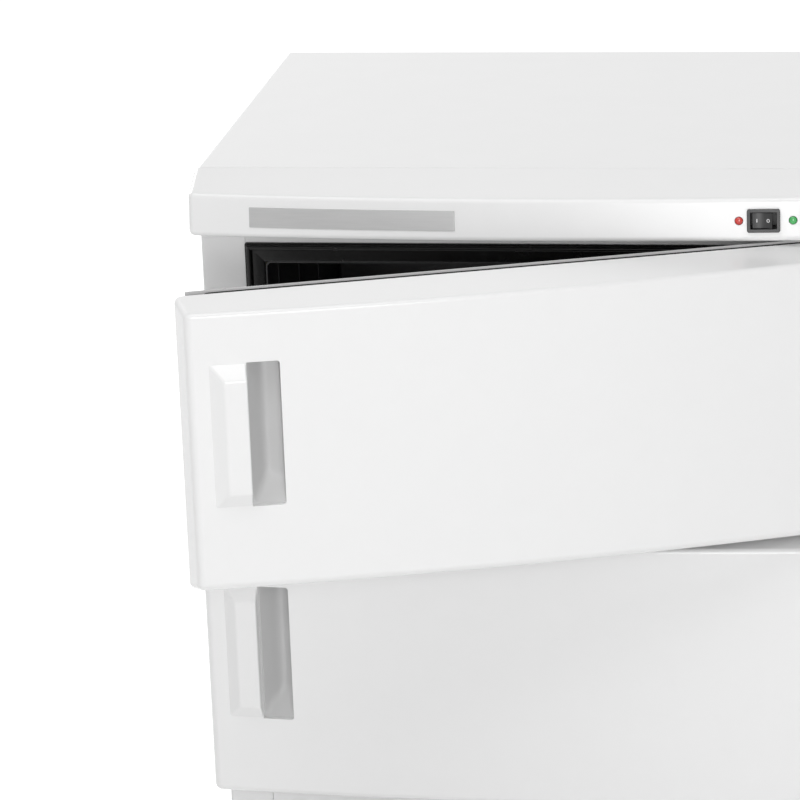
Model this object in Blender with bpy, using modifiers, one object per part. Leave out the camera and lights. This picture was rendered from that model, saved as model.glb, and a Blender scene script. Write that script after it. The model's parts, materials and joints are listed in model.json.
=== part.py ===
"""Two-door hot towel cabinet with the upper door ajar.

Metres, +Z up, front towards -Y. The origin is at the bottom centre of the whole object's box.
"""
from math import atan, cos, pi, radians, sin

import bmesh
import bpy
from mathutils import Matrix, Vector

# Clearances
GAP = 0.0003
RUNNING_GAP = 0.0009
CUT_OVERRUN = 0.003

# Cabinet body
BODY_WIDTH = 0.440
BODY_DEPTH = 0.330
SHEET = 0.0012
FOOT_HEIGHT = 0.014
FOOT_RADIUS = 0.012
FOOT_INSET = 0.035
FOOT_TAPER = 0.8
PLINTH_HEIGHT = 0.022
BODY_EDGE_RADIUS = 0.003
FRAME_HEADROOM = 0.012

# Doors
DOOR_OVERHANG = 0.007
DOOR_HEIGHT = 0.1925
DOOR_SPACING = 0.0034
DOOR_STANDOFF = 0.005
DOOR_EDGE_DEPTH = 0.0245
DOOR_BULGE = 0.0105
DOOR_WALL = 0.0025
DOOR_EDGE_RADIUS = 0.0045
DOOR_TOP_DRAFT = 0.0065
DOOR_SIDE_DRAFT = 0.0035
DOOR_BOTTOM_DRAFT = 0.0055
DOOR_AJAR = radians(19.0)
INNER_PANEL_THICKNESS = 0.0025
INNER_PANEL_INSET = 0.0008
INNER_PANEL_END_INSET = 0.0072
INNER_PANEL_RISE = 0.0016
INNER_PANEL_BOSS = 0.0060
SHADOW_LINE = 0.0012
BULGE_SEGMENTS = 20
FOAM_FROM_HINGE = 0.015

# Door hinges
HINGE_INSET = 0.013
HINGE_DEPTH = 0.011
PIN_RADIUS = 0.003
PIN_ENGAGEMENT = 0.010
BUSH_RADIUS = 0.005
BUSH_LENGTH = 0.013
BRACKET_THICKNESS = 0.0016
BRACKET_NOSE = 0.009
BRACKET_CHAMFER = 0.0045
BRACKET_REACH = 0.014
BRACKET_TAB = 0.014
BRACKET_SIDE_CLEARANCE = 0.0018
BRACKET_SHOULDER = 0.0081

# Door handle
RECESS_WIDTH = 0.021
RECESS_HEIGHT = 0.094
RECESS_DEPTH = 0.014
RECESS_FROM_DOOR_END = 0.0396
RECESS_FROM_DOOR_TOP = 0.039
RECESS_LIP = 0.0045
RECESS_TROUGH = 0.0035
RECESS_END_SLOPE = 0.010
CUP_WALL = 0.0025
GRIP_FACE = 0.0141
GRIP_BEVEL = 0.0095
GRIP_PROUD = 0.006
GRIP_END_BEVEL = 0.010
GRIP_EDGE = 0.0006

# Top fascia
FASCIA_OVERHANG = 0.002
FASCIA_GAP = 0.0034
FASCIA_PROUD = 0.027
FASCIA_LEAN = 0.003
FASCIA_FACE = 0.0275
FASCIA_SLOPE_RISE = 0.0115
FASCIA_WALL = 0.0022
FASCIA_EDGE_RADIUS = 0.003
NAMEPLATE_WIDTH = 0.1345
NAMEPLATE_HEIGHT = 0.0128
NAMEPLATE_THICKNESS = 0.0006
NAMEPLATE_FROM_END = 0.0412
NAMEPLATE_DROP = 0.0073

# Gaskets and chambers
GASKET_FROM_DOOR_END = 0.0365
GASKET_FROM_DOOR_TOP = 0.0075
GASKET_WIDTH = 0.013
GASKET_BASE = 0.0016
GASKET_HEIGHT = 0.0042
GASKET_BULB = 0.0095
GASKET_CORNER = 0.0015
GASKET_INNER_CORNER = 0.0005
BULB_SHOULDER = 0.15
BULB_CROWN = 0.35
LINER_WALL = 0.001
LINER_CORNER = 0.004
TRAY_MARGIN = 0.016
TRAY_FRONT = 0.014
TRAY_HEIGHT = 0.007
TRAY_WALL = 0.0008
TRAY_EDGE = 0.0018
RACK_OVERHANG = 0.001
RACK_ROD_INSET = 0.012
RACK_ROD_RADIUS = 0.002
RACK_WELD = 0.0007
RACK_WIRE_RADIUS = 0.0015
RACK_WIRES = 11

# Heat and wiring
HEATER_MARGIN = 0.027
HEATER_THICKNESS = 0.002
THERMOSTAT_RADIUS = 0.008
THERMOSTAT_LENGTH = 0.010
THERMOSTAT_POCKET = 0.012
INSULATION_FRONT = 0.020
REAR_INSULATION = 0.023
WIRING_SPACE = 0.045
CABLE_CHANNEL = 0.015
HARNESS_RADIUS = 0.0022
HARNESS_STANDOFF = 0.0046
HARNESS_BEND = 0.0088
HARNESS_HOLE = 0.0035
HARNESS_REACH = 0.008
TERMINAL_SIZE = (0.050, 0.018, 0.016)
TERMINAL_EDGE = 0.001

# Magnet catches
CATCH_SIZE = (0.010, 0.0036, 0.038)
CATCH_FROM_SIDE = 0.015
STRIKE_THICKNESS = 0.0005

# Switches and lamps on the fascia
UPPER_SWITCH_FROM_END = 0.072
LOWER_SWITCH_FROM_END = 0.038
SWITCH_WIDTH = 0.021
SWITCH_HEIGHT = 0.015
SWITCH_BEZEL = 0.0015
SWITCH_BODY_DEPTH = 0.017
SWITCH_FRAME = 0.0022
ROCKER_TILT = radians(9.0)
ROCKER_PIVOT_DEPTH = 0.0035
ROCKER_END_GAP = 0.00175
ROCKER_DIP = 0.7
ROCKER_TAPER = 0.8
LENS_RADIUS = 0.0025
LENS_DOME = 0.00125
LENS_LENGTH = 0.007
LENS_FROM_SWITCH = 0.0155

# Rear fittings
INLET_FROM_SIDE = 0.070
INLET_ABOVE_BASE = 0.036
INLET_FLANGE = (0.032, 0.0022, 0.026)
INLET_BODY = (0.027, 0.020, 0.020)
INLET_WALL = 0.003
INLET_PIN = (0.002, 0.010, 0.004)
INLET_PIN_SPACING = 0.007
SCREW_HEAD_RADIUS = 0.0036
SCREW_HEAD_HEIGHT = 0.0020
SCREW_HEAD_FLAT = 0.0022
SCREW_HEAD_RIM = 0.0008
SCREW_SHANK_RADIUS = 0.0017
SCREW_LENGTH = 0.010
SCREW_INSET = 0.018
VENT_COUNT = 8
VENT_WIDTH = 0.060
VENT_HEIGHT = 0.0035
VENT_PITCH = 0.010
VENT_FROM_TOP = 0.050

# Fineness of round shapes
ROUND_SIDES = 24
SMALL_SIDES = 16
WIRE_SIDES = 8
CORNER_STEPS = 5

# Levels and planes that follow from the sizes above, with the front frame's plane at Y = 0
BASE_Z = FOOT_HEIGHT
FLOOR_Z = BASE_Z + SHEET
LOWER_DOOR_Z = BASE_Z + PLINTH_HEIGHT
UPPER_DOOR_Z = LOWER_DOOR_Z + DOOR_HEIGHT + DOOR_SPACING
DOOR_TOP_Z = UPPER_DOOR_Z + DOOR_HEIGHT
FASCIA_Z = DOOR_TOP_Z + FASCIA_GAP
FASCIA_TOP_Z = FASCIA_Z + FASCIA_FACE + FASCIA_SLOPE_RISE
TOP_Z = FASCIA_TOP_Z
DOOR_WIDTH = BODY_WIDTH + 2 * DOOR_OVERHANG
FASCIA_WIDTH = BODY_WIDTH + 2 * FASCIA_OVERHANG
HALF_BODY = BODY_WIDTH / 2
INSIDE_X = HALF_BODY - SHEET - GAP
HALF_OPENING = DOOR_WIDTH / 2 - GASKET_FROM_DOOR_END
FRAME_TOP_Z = DOOR_TOP_Z + FRAME_HEADROOM
HINGE_X = DOOR_WIDTH / 2 - HINGE_INSET
HINGE_Y = -DOOR_STANDOFF - HINGE_DEPTH
DOOR_REAR = HINGE_DEPTH
SHELL_REAR = DOOR_REAR - INNER_PANEL_THICKNESS - SHADOW_LINE
DOOR_FRONT = DOOR_REAR - DOOR_EDGE_DEPTH
DOOR_LEFT = HINGE_INSET - DOOR_WIDTH
DOOR_MIDDLE = DOOR_LEFT + DOOR_WIDTH / 2
INSULATION_BACK = BODY_DEPTH - WIRING_SPACE
LINER_DEPTH = INSULATION_BACK - REAR_INSULATION
INSULATION_TOP = TOP_Z - SHEET - CABLE_CHANNEL
BACK_INSIDE = BODY_DEPTH - SHEET - GAP
INLET_X = HALF_BODY - INLET_FROM_SIDE
INLET_Z = BASE_Z + INLET_ABOVE_BASE
UPPER_SWITCH_X = FASCIA_WIDTH / 2 - UPPER_SWITCH_FROM_END
LOWER_SWITCH_X = FASCIA_WIDTH / 2 - LOWER_SWITCH_FROM_END
DOOR_LEVELS = {"lower": LOWER_DOOR_Z, "upper": UPPER_DOOR_Z}


# Scene set-up

def clear_scene():
    """Remove whatever the file already holds."""
    for old in list(bpy.data.objects):
        bpy.data.objects.remove(old, do_unlink=True)


def make_collection(name):
    """Make a collection in the scene."""
    collection = bpy.data.collections.new(name)
    bpy.context.scene.collection.children.link(collection)
    return collection


def make_material(name, colour, roughness, metallic=0.0):
    """Make a Principled material of one colour."""
    material = bpy.data.materials.new(name)
    material.use_nodes = True
    shader = material.node_tree.nodes["Principled BSDF"]
    shader.inputs["Base Color"].default_value = (*colour, 1.0)
    shader.inputs["Roughness"].default_value = roughness
    shader.inputs["Metallic"].default_value = metallic
    return material


clear_scene()
PARTS = make_collection("towel_warmer")
CUTTERS = make_collection("cutters")

WHITE_PLASTIC = make_material("white_plastic", (0.86, 0.86, 0.86), 0.35)
WHITE_PAINT = make_material("white_paint", (0.84, 0.84, 0.84), 0.45)
GREY_PLASTIC = make_material("grey_plastic", (0.45, 0.45, 0.45), 0.5)
CUP_PLASTIC = make_material("cup_plastic", (0.55, 0.55, 0.55), 0.45)
PLATE_GREY = make_material("plate_grey", (0.52, 0.52, 0.52), 0.4, 0.3)
BLACK_RUBBER = make_material("black_rubber", (0.02, 0.02, 0.02), 0.55)
BLACK_PLASTIC = make_material("black_plastic", (0.03, 0.03, 0.03), 0.4)
LINER_METAL = make_material("liner_metal", (0.10, 0.10, 0.10), 0.35, 0.6)
STEEL = make_material("steel", (0.6, 0.6, 0.6), 0.3, 1.0)
ALUMINIUM = make_material("aluminium", (0.75, 0.75, 0.76), 0.35, 1.0)
FOAM = make_material("foam", (0.80, 0.75, 0.60), 0.9)
HEATER_RUBBER = make_material("heater_rubber", (0.55, 0.18, 0.10), 0.6)
LENS_RED = make_material("lens_red", (0.60, 0.03, 0.02), 0.15)
LENS_GREEN = make_material("lens_green", (0.05, 0.45, 0.10), 0.15)


# Modelling helpers

def make_empty(name, parent=None, location=(0, 0, 0), rotation=(0, 0, 0)):
    """Make an empty that carries other objects."""
    empty = bpy.data.objects.new(name, None)
    empty.parent = parent
    empty.location = location
    empty.rotation_euler = rotation
    PARTS.objects.link(empty)
    return empty


def finish_mesh(name, mesh_builder, material, parent, location=(0, 0, 0), rotation=(0, 0, 0)):
    """Turn a bmesh into an object, or into a hidden cutter where there is no material."""
    bmesh.ops.recalc_face_normals(mesh_builder, faces=mesh_builder.faces)
    mesh = bpy.data.meshes.new(name)
    mesh_builder.to_mesh(mesh)
    mesh_builder.free()
    return finish_data(name, mesh, material, parent, location, rotation)


def finish_data(name, data, material, parent, location=(0, 0, 0), rotation=(0, 0, 0)):
    """Place mesh or curve data in the scene under its parent."""
    placed = bpy.data.objects.new(name, data)
    placed.parent = parent
    placed.location = location
    placed.rotation_euler = rotation
    if material is None:
        CUTTERS.objects.link(placed)
        placed.hide_render = True
        placed.display_type = "WIRE"
    else:
        PARTS.objects.link(placed)
        data.materials.append(material)
    return placed


def box_builder(low, high):
    """Make a bmesh box between two corners."""
    low = Vector(low)
    high = Vector(high)
    builder = bmesh.new()
    size = high - low
    place = Matrix.Translation((low + high) / 2) @ Matrix.Diagonal((*size, 1.0))
    bmesh.ops.create_cube(builder, size=1.0, matrix=place)
    return builder


def block(name, low, high, material, parent, location=(0, 0, 0), rotation=(0, 0, 0)):
    """Make a box object between two corners."""
    return finish_mesh(name, box_builder(low, high), material, parent, location, rotation)


def in_plane(plane, across, up, along):
    """Place a point that is given in the XY, XZ or YZ plane and along the third axis."""
    places = dict(zip(plane, (across, up)))
    return tuple(places.get(axis, along) for axis in "XYZ")


def prism_builder(outline, plane, start, end):
    """Extrude an outline given in the XY, XZ or YZ plane along the third axis."""
    builder = bmesh.new()
    corners = [builder.verts.new(in_plane(plane, a, b, start)) for a, b in outline]
    cap = builder.faces.new(corners)
    grown = bmesh.ops.extrude_face_region(builder, geom=[cap])
    moved = [item for item in grown["geom"] if isinstance(item, bmesh.types.BMVert)]
    bmesh.ops.translate(builder, vec=in_plane(plane, 0, 0, end - start), verts=moved)
    return builder


def prism(name, outline, plane, start, end, material, parent, location=(0, 0, 0), rotation=(0, 0, 0)):
    """Make an extruded outline as an object."""
    builder = prism_builder(outline, plane, start, end)
    return finish_mesh(name, builder, material, parent, location, rotation)


def rod_builder(start, end, radius, sides):
    """Make a closed round bar between two points."""
    start = Vector(start)
    end = Vector(end)
    along = end - start
    turn = Vector((0, 0, 1)).rotation_difference(along).to_matrix().to_4x4()
    place = Matrix.Translation((start + end) / 2) @ turn
    builder = bmesh.new()
    bmesh.ops.create_cone(builder, cap_ends=True, segments=sides, radius1=radius, radius2=radius,
                          depth=along.length, matrix=place)
    return builder


def rod(name, start, end, radius, material, parent, sides=ROUND_SIDES):
    """Make a round bar as an object."""
    return finish_mesh(name, rod_builder(start, end, radius, sides), material, parent)


def turned(name, profile, material, parent, location, rotation=(0, 0, 0), ring=False, steps=ROUND_SIDES):
    """Turn a profile of (radius, height) points, top to bottom on its outer side, about the Z axis."""
    builder = bmesh.new()
    points = [builder.verts.new((radius, 0, height)) for radius, height in profile]
    for first, second in zip(points, points[1:]):
        builder.edges.new((first, second))
    if ring:
        builder.edges.new((points[-1], points[0]))
    mesh = bpy.data.meshes.new(name)
    builder.to_mesh(mesh)
    builder.free()
    made = finish_data(name, mesh, material, parent, location, rotation)
    screw = made.modifiers.new("turn", "SCREW")
    screw.steps = steps
    screw.render_steps = steps
    screw.use_merge_vertices = True
    screw.merge_threshold = 0.00001
    return made


def cut(target, cutter):
    """Cut one object out of another."""
    modifier = target.modifiers.new("cut", "BOOLEAN")
    modifier.operation = "DIFFERENCE"
    modifier.object = cutter


def join(target, added):
    """Weld a hidden guide onto an object."""
    modifier = target.modifiers.new("join", "BOOLEAN")
    modifier.operation = "UNION"
    modifier.object = added


def round_edges(target, width, segments=2, angle=radians(40)):
    """Round the edges that turn by more than an angle."""
    modifier = target.modifiers.new("round", "BEVEL")
    modifier.width = width
    modifier.segments = segments
    modifier.limit_method = "ANGLE"
    modifier.angle_limit = angle


def give_wall(target, thickness):
    """Give an open surface a wall on its inner side."""
    modifier = target.modifiers.new("wall", "SOLIDIFY")
    modifier.thickness = thickness
    modifier.offset = -1.0
    modifier.use_even_offset = True


def open_side(builder, axis, value):
    """Remove the faces that lie in the plane where one coordinate has a value."""
    bmesh.ops.recalc_face_normals(builder, faces=builder.faces)
    flat = [face for face in builder.faces if all(abs(v.co[axis] - value) < 1e-6 for v in face.verts)]
    bmesh.ops.delete(builder, geom=flat, context="FACES")


def slice_along_x(builder, start, end, parts):
    """Cut a bmesh into strips along X so that it can follow a curve."""
    for index in range(1, parts):
        place = start + (end - start) * index / parts
        geometry = builder.verts[:] + builder.edges[:] + builder.faces[:]
        bmesh.ops.bisect_plane(builder, geom=geometry, plane_co=(place, 0, 0), plane_no=(1, 0, 0))


def bulge_at(offset, half_width, depth):
    """Give how far a bulged face stands forward of its ends at an offset from its middle."""
    return depth * (1.0 - (offset / half_width) ** 2)


def bulge_tilt(offset, half_width, depth):
    """Give the angle in plan at which a bulged face lies at an offset from its middle."""
    return atan(2.0 * depth * offset / half_width ** 2)


# Cabinet body

def build_wrapper(root):
    """Fold the sheet that makes the top, the sides and the front stiles."""
    side = [(0, BASE_Z), (0, TOP_Z), (BODY_DEPTH, TOP_Z), (BODY_DEPTH, BASE_Z)]
    builder = prism_builder(side, "YZ", -HALF_BODY, HALF_BODY)
    open_side(builder, 2, BASE_Z)
    open_side(builder, 1, BODY_DEPTH)
    wrapper = finish_mesh("cabinet_wrapper", builder, WHITE_PAINT, root)
    round_edges(wrapper, BODY_EDGE_RADIUS, 2, radians(60))
    give_wall(wrapper, SHEET)
    behind = SHEET + CUT_OVERRUN
    cut(wrapper, block("wrapper_front_opening", (-HALF_OPENING, -CUT_OVERRUN, 0),
                       (HALF_OPENING, behind, FRAME_TOP_Z), None, root))
    cable = Vector(harness_points()[-1])
    cut(wrapper, rod("wrapper_cable_hole", (cable.x, -CUT_OVERRUN, cable.z), (cable.x, behind, cable.z),
                     HARNESS_HOLE, None, root, SMALL_SIDES))
    for name, bracket_z in bracket_levels().items():
        low, high = bracket_slot(bracket_z)
        cut(wrapper, block("slot_" + name, low, high, None, root))


def cut_corners(half, plain, cornered, corner):
    """Outline a panel whose two corners at one end clear a rounded fold."""
    step = corner if cornered > plain else -corner
    return [(-half, plain), (half, plain), (half, cornered - step), (half - corner, cornered),
            (-half + corner, cornered), (-half, cornered - step)]


def build_base_and_back(root):
    """Close the body below and behind."""
    base = cut_corners(INSIDE_X, BACK_INSIDE, SHEET + GAP, BODY_EDGE_RADIUS)
    prism("base_panel", base, "XY", BASE_Z, FLOOR_Z, WHITE_PAINT, root)
    outline = cut_corners(INSIDE_X, BASE_Z, TOP_Z - SHEET - GAP, BODY_EDGE_RADIUS)
    back = prism("back_panel", outline, "XZ", BODY_DEPTH - SHEET, BODY_DEPTH, WHITE_PAINT, root)
    cut(back, block("inlet_cutout", *inlet_box(INLET_BODY, GAP), None, root))
    cut_start = BODY_DEPTH - SHEET - CUT_OVERRUN
    cut_end = BODY_DEPTH + CUT_OVERRUN
    for x, z in screw_places():
        cut(back, rod("screw_hole", (x, cut_start, z), (x, cut_end, z), SCREW_SHANK_RADIUS + GAP, None, root,
                      SMALL_SIDES))
    for index in range(VENT_COUNT):
        z = TOP_Z - VENT_FROM_TOP - index * VENT_PITCH
        cut(back, block("vent", (-VENT_WIDTH / 2, cut_start, z), (VENT_WIDTH / 2, cut_end, z + VENT_HEIGHT),
                        None, root))


def build_feet(root):
    """Stand the body on four rubber feet."""
    top = FOOT_HEIGHT - GAP
    profile = [(0, top), (FOOT_RADIUS, top), (FOOT_RADIUS * FOOT_TAPER, 0), (0, 0)]
    x = HALF_BODY - FOOT_INSET
    places = {"front_left": (-x, FOOT_INSET), "front_right": (x, FOOT_INSET),
              "rear_left": (-x, BODY_DEPTH - FOOT_INSET), "rear_right": (x, BODY_DEPTH - FOOT_INSET)}
    for corner, (foot_x, foot_y) in places.items():
        turned("foot_" + corner, profile, BLACK_RUBBER, root, (foot_x, foot_y, 0))


def chamber_box(door_z, inset):
    """Give the half width, bottom and top of a door's opening, inset from the gasket's outer edge."""
    bottom = door_z + GASKET_FROM_DOOR_TOP + inset
    top = door_z + DOOR_HEIGHT - GASKET_FROM_DOOR_TOP - inset
    return HALF_OPENING - inset, bottom, top


def build_front_frame(root):
    """Make the plate between the stiles that carries the gaskets and the liners."""
    frame = block("front_frame", (-HALF_OPENING + GAP, 0, FLOOR_Z + GAP),
                  (HALF_OPENING - GAP, SHEET, FRAME_TOP_Z - GAP), WHITE_PAINT, root)
    for level, door_z in DOOR_LEVELS.items():
        half, bottom, top = chamber_box(door_z, GASKET_WIDTH - GAP)
        cut(frame, block(level + "_frame_opening", (-half, -CUT_OVERRUN, bottom),
                         (half, SHEET + CUT_OVERRUN, top), None, root))


def rounded_ring(half_width, bottom, top, radius, y):
    """Give the points of an upright rounded rectangle, the same number for every size."""
    points = []
    corners = [(half_width, top, 0), (-half_width, top, 1), (-half_width, bottom, 2), (half_width, bottom, 3)]
    for corner_x, corner_z, quarter in corners:
        centre_x = corner_x - radius if corner_x > 0 else corner_x + radius
        centre_z = corner_z - radius if corner_z == top else corner_z + radius
        for step in range(CORNER_STEPS):
            angle = (quarter + step / (CORNER_STEPS - 1)) * pi / 2
            points.append((centre_x + radius * cos(angle), y, centre_z + radius * sin(angle)))
    return points


def build_gasket(level, door_z, root):
    """Sweep the rubber seal round a chamber's mouth."""
    shoulder = GASKET_BULB * BULB_SHOULDER
    crown = GASKET_BULB * BULB_CROWN
    shoulder_height = (GASKET_HEIGHT + GASKET_BASE) / 2
    section = [(0, 0), (0, GASKET_BASE), (shoulder, shoulder_height), (crown, GASKET_HEIGHT),
               (GASKET_BULB - crown, GASKET_HEIGHT), (GASKET_BULB - shoulder, shoulder_height),
               (GASKET_BULB, GASKET_BASE), (GASKET_WIDTH, GASKET_BASE), (GASKET_WIDTH, 0)]
    builder = bmesh.new()
    rings = []
    for inset, height in section:
        half, bottom, top = chamber_box(door_z, inset)
        radius = max(GASKET_CORNER - inset, GASKET_INNER_CORNER)
        ring = rounded_ring(half, bottom, top, radius, -GAP - height)
        rings.append([builder.verts.new(point) for point in ring])
    count = len(rings[0])
    for ring, following in zip(rings, rings[1:] + rings[:1]):
        for index in range(count):
            after = (index + 1) % count
            builder.faces.new((ring[index], ring[after], following[after], following[index]))
    finish_mesh(level + "_gasket", builder, BLACK_RUBBER, root)


# Chambers

def build_chamber(level, door_z, root):
    """Make a liner with its drip tray, rack, heater mat and thermostat."""
    half, bottom, top = chamber_box(door_z, GASKET_WIDTH)
    builder = box_builder((-half, 0, bottom), (half, LINER_DEPTH, top))
    open_side(builder, 1, 0)
    liner = finish_mesh(level + "_liner", builder, LINER_METAL, root)
    round_edges(liner, LINER_CORNER, 2)
    give_wall(liner, LINER_WALL)

    floor = bottom + LINER_WALL + GAP
    inner_half = half - LINER_WALL
    inner_back = LINER_DEPTH - LINER_WALL
    tray_half = inner_half - TRAY_MARGIN
    tray_back = inner_back - TRAY_MARGIN
    rim = floor + TRAY_HEIGHT
    builder = box_builder((-tray_half, TRAY_FRONT, floor), (tray_half, tray_back, rim))
    open_side(builder, 2, rim)
    tray = finish_mesh(level + "_drip_tray", builder, ALUMINIUM, root)
    round_edges(tray, TRAY_EDGE, 1)
    give_wall(tray, TRAY_WALL)

    build_rack(level, tray_half, TRAY_FRONT, tray_back, rim, root)

    mat_top = bottom - GAP
    mat_half = half - HEATER_MARGIN
    block(level + "_heater_mat", (-mat_half, HEATER_MARGIN, mat_top - HEATER_THICKNESS),
          (mat_half, LINER_DEPTH - HEATER_MARGIN, mat_top), HEATER_RUBBER, root)
    middle = (bottom + top) / 2
    behind = LINER_DEPTH + GAP
    rod(level + "_thermostat", (0, behind, middle), (0, behind + THERMOSTAT_LENGTH, middle),
        THERMOSTAT_RADIUS, BLACK_PLASTIC, root)


def build_rack(level, half, front, back, rim, root):
    """Weld a wire rack that lies on the drip tray's rim: wires front to back under two cross rods."""
    wire_z = rim + GAP + RACK_WIRE_RADIUS
    rod_z = wire_z + RACK_WIRE_RADIUS + RACK_ROD_RADIUS - RACK_WELD
    rod_half = half - RACK_ROD_INSET
    bars = []
    for y in (front + RACK_ROD_INSET, back - RACK_ROD_INSET):
        bars.append(((-rod_half, y, rod_z), (rod_half, y, rod_z), RACK_ROD_RADIUS))
    for index in range(RACK_WIRES):
        x = -rod_half + 2 * rod_half * (index + 0.5) / RACK_WIRES
        bars.append(((x, front - RACK_OVERHANG, wire_z), (x, back + RACK_OVERHANG, wire_z), RACK_WIRE_RADIUS))
    start, end, radius = bars[0]
    rack = rod(level + "_wire_rack", start, end, radius, STEEL, root, WIRE_SIDES)
    for start, end, radius in bars[2:] + bars[1:2]:
        join(rack, rod(level + "_rack_bar", start, end, radius, None, root, WIRE_SIDES))


def build_insulation(root):
    """Fill the space round the liners, with pockets for the heater mats and the thermostats."""
    jacket = block("insulation_jacket", (-INSIDE_X, INSULATION_FRONT, FLOOR_Z + GAP),
                   (INSIDE_X, INSULATION_BACK, INSULATION_TOP), FOAM, root)
    for level, door_z in DOOR_LEVELS.items():
        half, bottom, top = chamber_box(door_z, GASKET_WIDTH - GAP)
        cut(jacket, block(level + "_liner_pocket", (-half, 0, bottom), (half, LINER_DEPTH + GAP, top),
                          None, root))
        mat_half = half - HEATER_MARGIN + GAP
        mat_front = HEATER_MARGIN - GAP
        cut(jacket, block(level + "_mat_pocket", (-mat_half, mat_front, bottom - HEATER_THICKNESS - GAP),
                          (mat_half, LINER_DEPTH - mat_front, bottom + CUT_OVERRUN), None, root))
        middle = (bottom + top) / 2
        cut(jacket, block(level + "_thermostat_pocket",
                          (-THERMOSTAT_POCKET, LINER_DEPTH - CUT_OVERRUN, middle - THERMOSTAT_POCKET),
                          (THERMOSTAT_POCKET, INSULATION_BACK + CUT_OVERRUN, middle + THERMOSTAT_POCKET),
                          None, root))


# Electrical pieces

def harness_points():
    """Give the wiring's route from the terminal block over the insulation to the fascia."""
    rise_y = INSULATION_BACK + HARNESS_STANDOFF
    block_top = FLOOR_Z + GAP + TERMINAL_SIZE[2] + GAP
    over = INSULATION_TOP + HARNESS_STANDOFF
    bend = HARNESS_BEND
    corner = bend * (1 - cos(pi / 4))
    ease = HARNESS_RADIUS / 3
    through_z = (FRAME_TOP_Z + TOP_Z) / 2
    return [(INLET_X, rise_y, block_top), (INLET_X, rise_y, over - bend),
            (INLET_X, rise_y - corner, over - corner), (INLET_X, rise_y - bend, over),
            (UPPER_SWITCH_X, INSULATION_FRONT + bend, over), (UPPER_SWITCH_X, INSULATION_FRONT, over - ease),
            (UPPER_SWITCH_X, HARNESS_REACH, through_z + ease), (UPPER_SWITCH_X, SHEET, through_z),
            (UPPER_SWITCH_X, -HARNESS_REACH / 2, through_z)]


def build_harness(root):
    """Lay the wiring from the terminal block to the switches."""
    data = bpy.data.curves.new("wiring_harness", "CURVE")
    data.dimensions = "3D"
    data.bevel_depth = HARNESS_RADIUS
    data.bevel_resolution = 2
    data.use_fill_caps = True
    route = harness_points()
    spline = data.splines.new("POLY")
    spline.points.add(len(route) - 1)
    for point, place in zip(spline.points, route):
        point.co = (*place, 1.0)
    finish_data("wiring_harness", data, BLACK_PLASTIC, root)


def build_terminal_block(root):
    """Seat the terminal block on the base."""
    width, depth, height = TERMINAL_SIZE
    front = INSULATION_BACK + GAP
    low = (INLET_X - width / 2, front, FLOOR_Z + GAP)
    high = (INLET_X + width / 2, front + depth, FLOOR_Z + GAP + height)
    terminal = block("terminal_block", low, high, BLACK_PLASTIC, root)
    round_edges(terminal, TERMINAL_EDGE, 1)


def inlet_box(size, clearance):
    """Give the corners of an inlet piece that runs forward from the back panel's outer face."""
    width, depth, height = size
    return ((INLET_X - width / 2 - clearance, BODY_DEPTH - depth, INLET_Z - height / 2 - clearance),
            (INLET_X + width / 2 + clearance, BODY_DEPTH + 2 * GAP, INLET_Z + height / 2 + clearance))


def build_inlet(root):
    """Make the power inlet with its socket and contact pins."""
    width, depth, height = INLET_FLANGE
    flange_front = BODY_DEPTH + GAP
    flange_back = flange_front + depth
    inlet = block("power_inlet", (INLET_X - width / 2, flange_front, INLET_Z - height / 2),
                  (INLET_X + width / 2, flange_back, INLET_Z + height / 2), BLACK_PLASTIC, root)
    join(inlet, block("inlet_body", *inlet_box(INLET_BODY, 0), None, root))
    half_x = INLET_BODY[0] / 2 - INLET_WALL
    half_z = INLET_BODY[2] / 2 - INLET_WALL
    floor = BODY_DEPTH - INLET_BODY[1] + INLET_WALL
    cut(inlet, block("inlet_socket", (INLET_X - half_x, floor, INLET_Z - half_z),
                     (INLET_X + half_x, flange_back + depth, INLET_Z + half_z), None, root))
    pin_width, pin_length, pin_height = INLET_PIN
    for index in (-1, 0, 1):
        x = INLET_X + index * INLET_PIN_SPACING
        pin = block("inlet_pin", (x - pin_width / 2, floor - INLET_WALL / 2, INLET_Z - pin_height / 2),
                    (x + pin_width / 2, floor + pin_length, INLET_Z + pin_height / 2), None, root)
        join(inlet, pin)


def screw_places():
    """Give the X and Z of the back panel's screws."""
    x = INSIDE_X - SCREW_INSET
    return [(-x, BASE_Z + SCREW_INSET), (x, BASE_Z + SCREW_INSET),
            (-x, TOP_Z - SCREW_INSET), (x, TOP_Z - SCREW_INSET)]


def build_screws(root):
    """Put the back panel's screws in their holes."""
    seat = GAP
    head = seat + SCREW_HEAD_HEIGHT
    tip = seat - SCREW_LENGTH
    profile = [(0, head), (SCREW_HEAD_FLAT, head), (SCREW_HEAD_RADIUS, seat + SCREW_HEAD_RIM),
               (SCREW_HEAD_RADIUS, seat), (SCREW_SHANK_RADIUS, seat), (SCREW_SHANK_RADIUS, tip), (0, tip)]
    names = ("lower_left", "lower_right", "upper_left", "upper_right")
    for corner, (x, z) in zip(names, screw_places()):
        turned("back_screw_" + corner, profile, STEEL, root, (x, BODY_DEPTH, z), (radians(-90), 0, 0),
               steps=SMALL_SIDES)


# Top fascia

def fascia_front(x):
    """Give the Y of the middle of the fascia's front face at an X."""
    return -FASCIA_PROUD + FASCIA_LEAN / 2 - bulge_at(x, FASCIA_WIDTH / 2, DOOR_BULGE)


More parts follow.
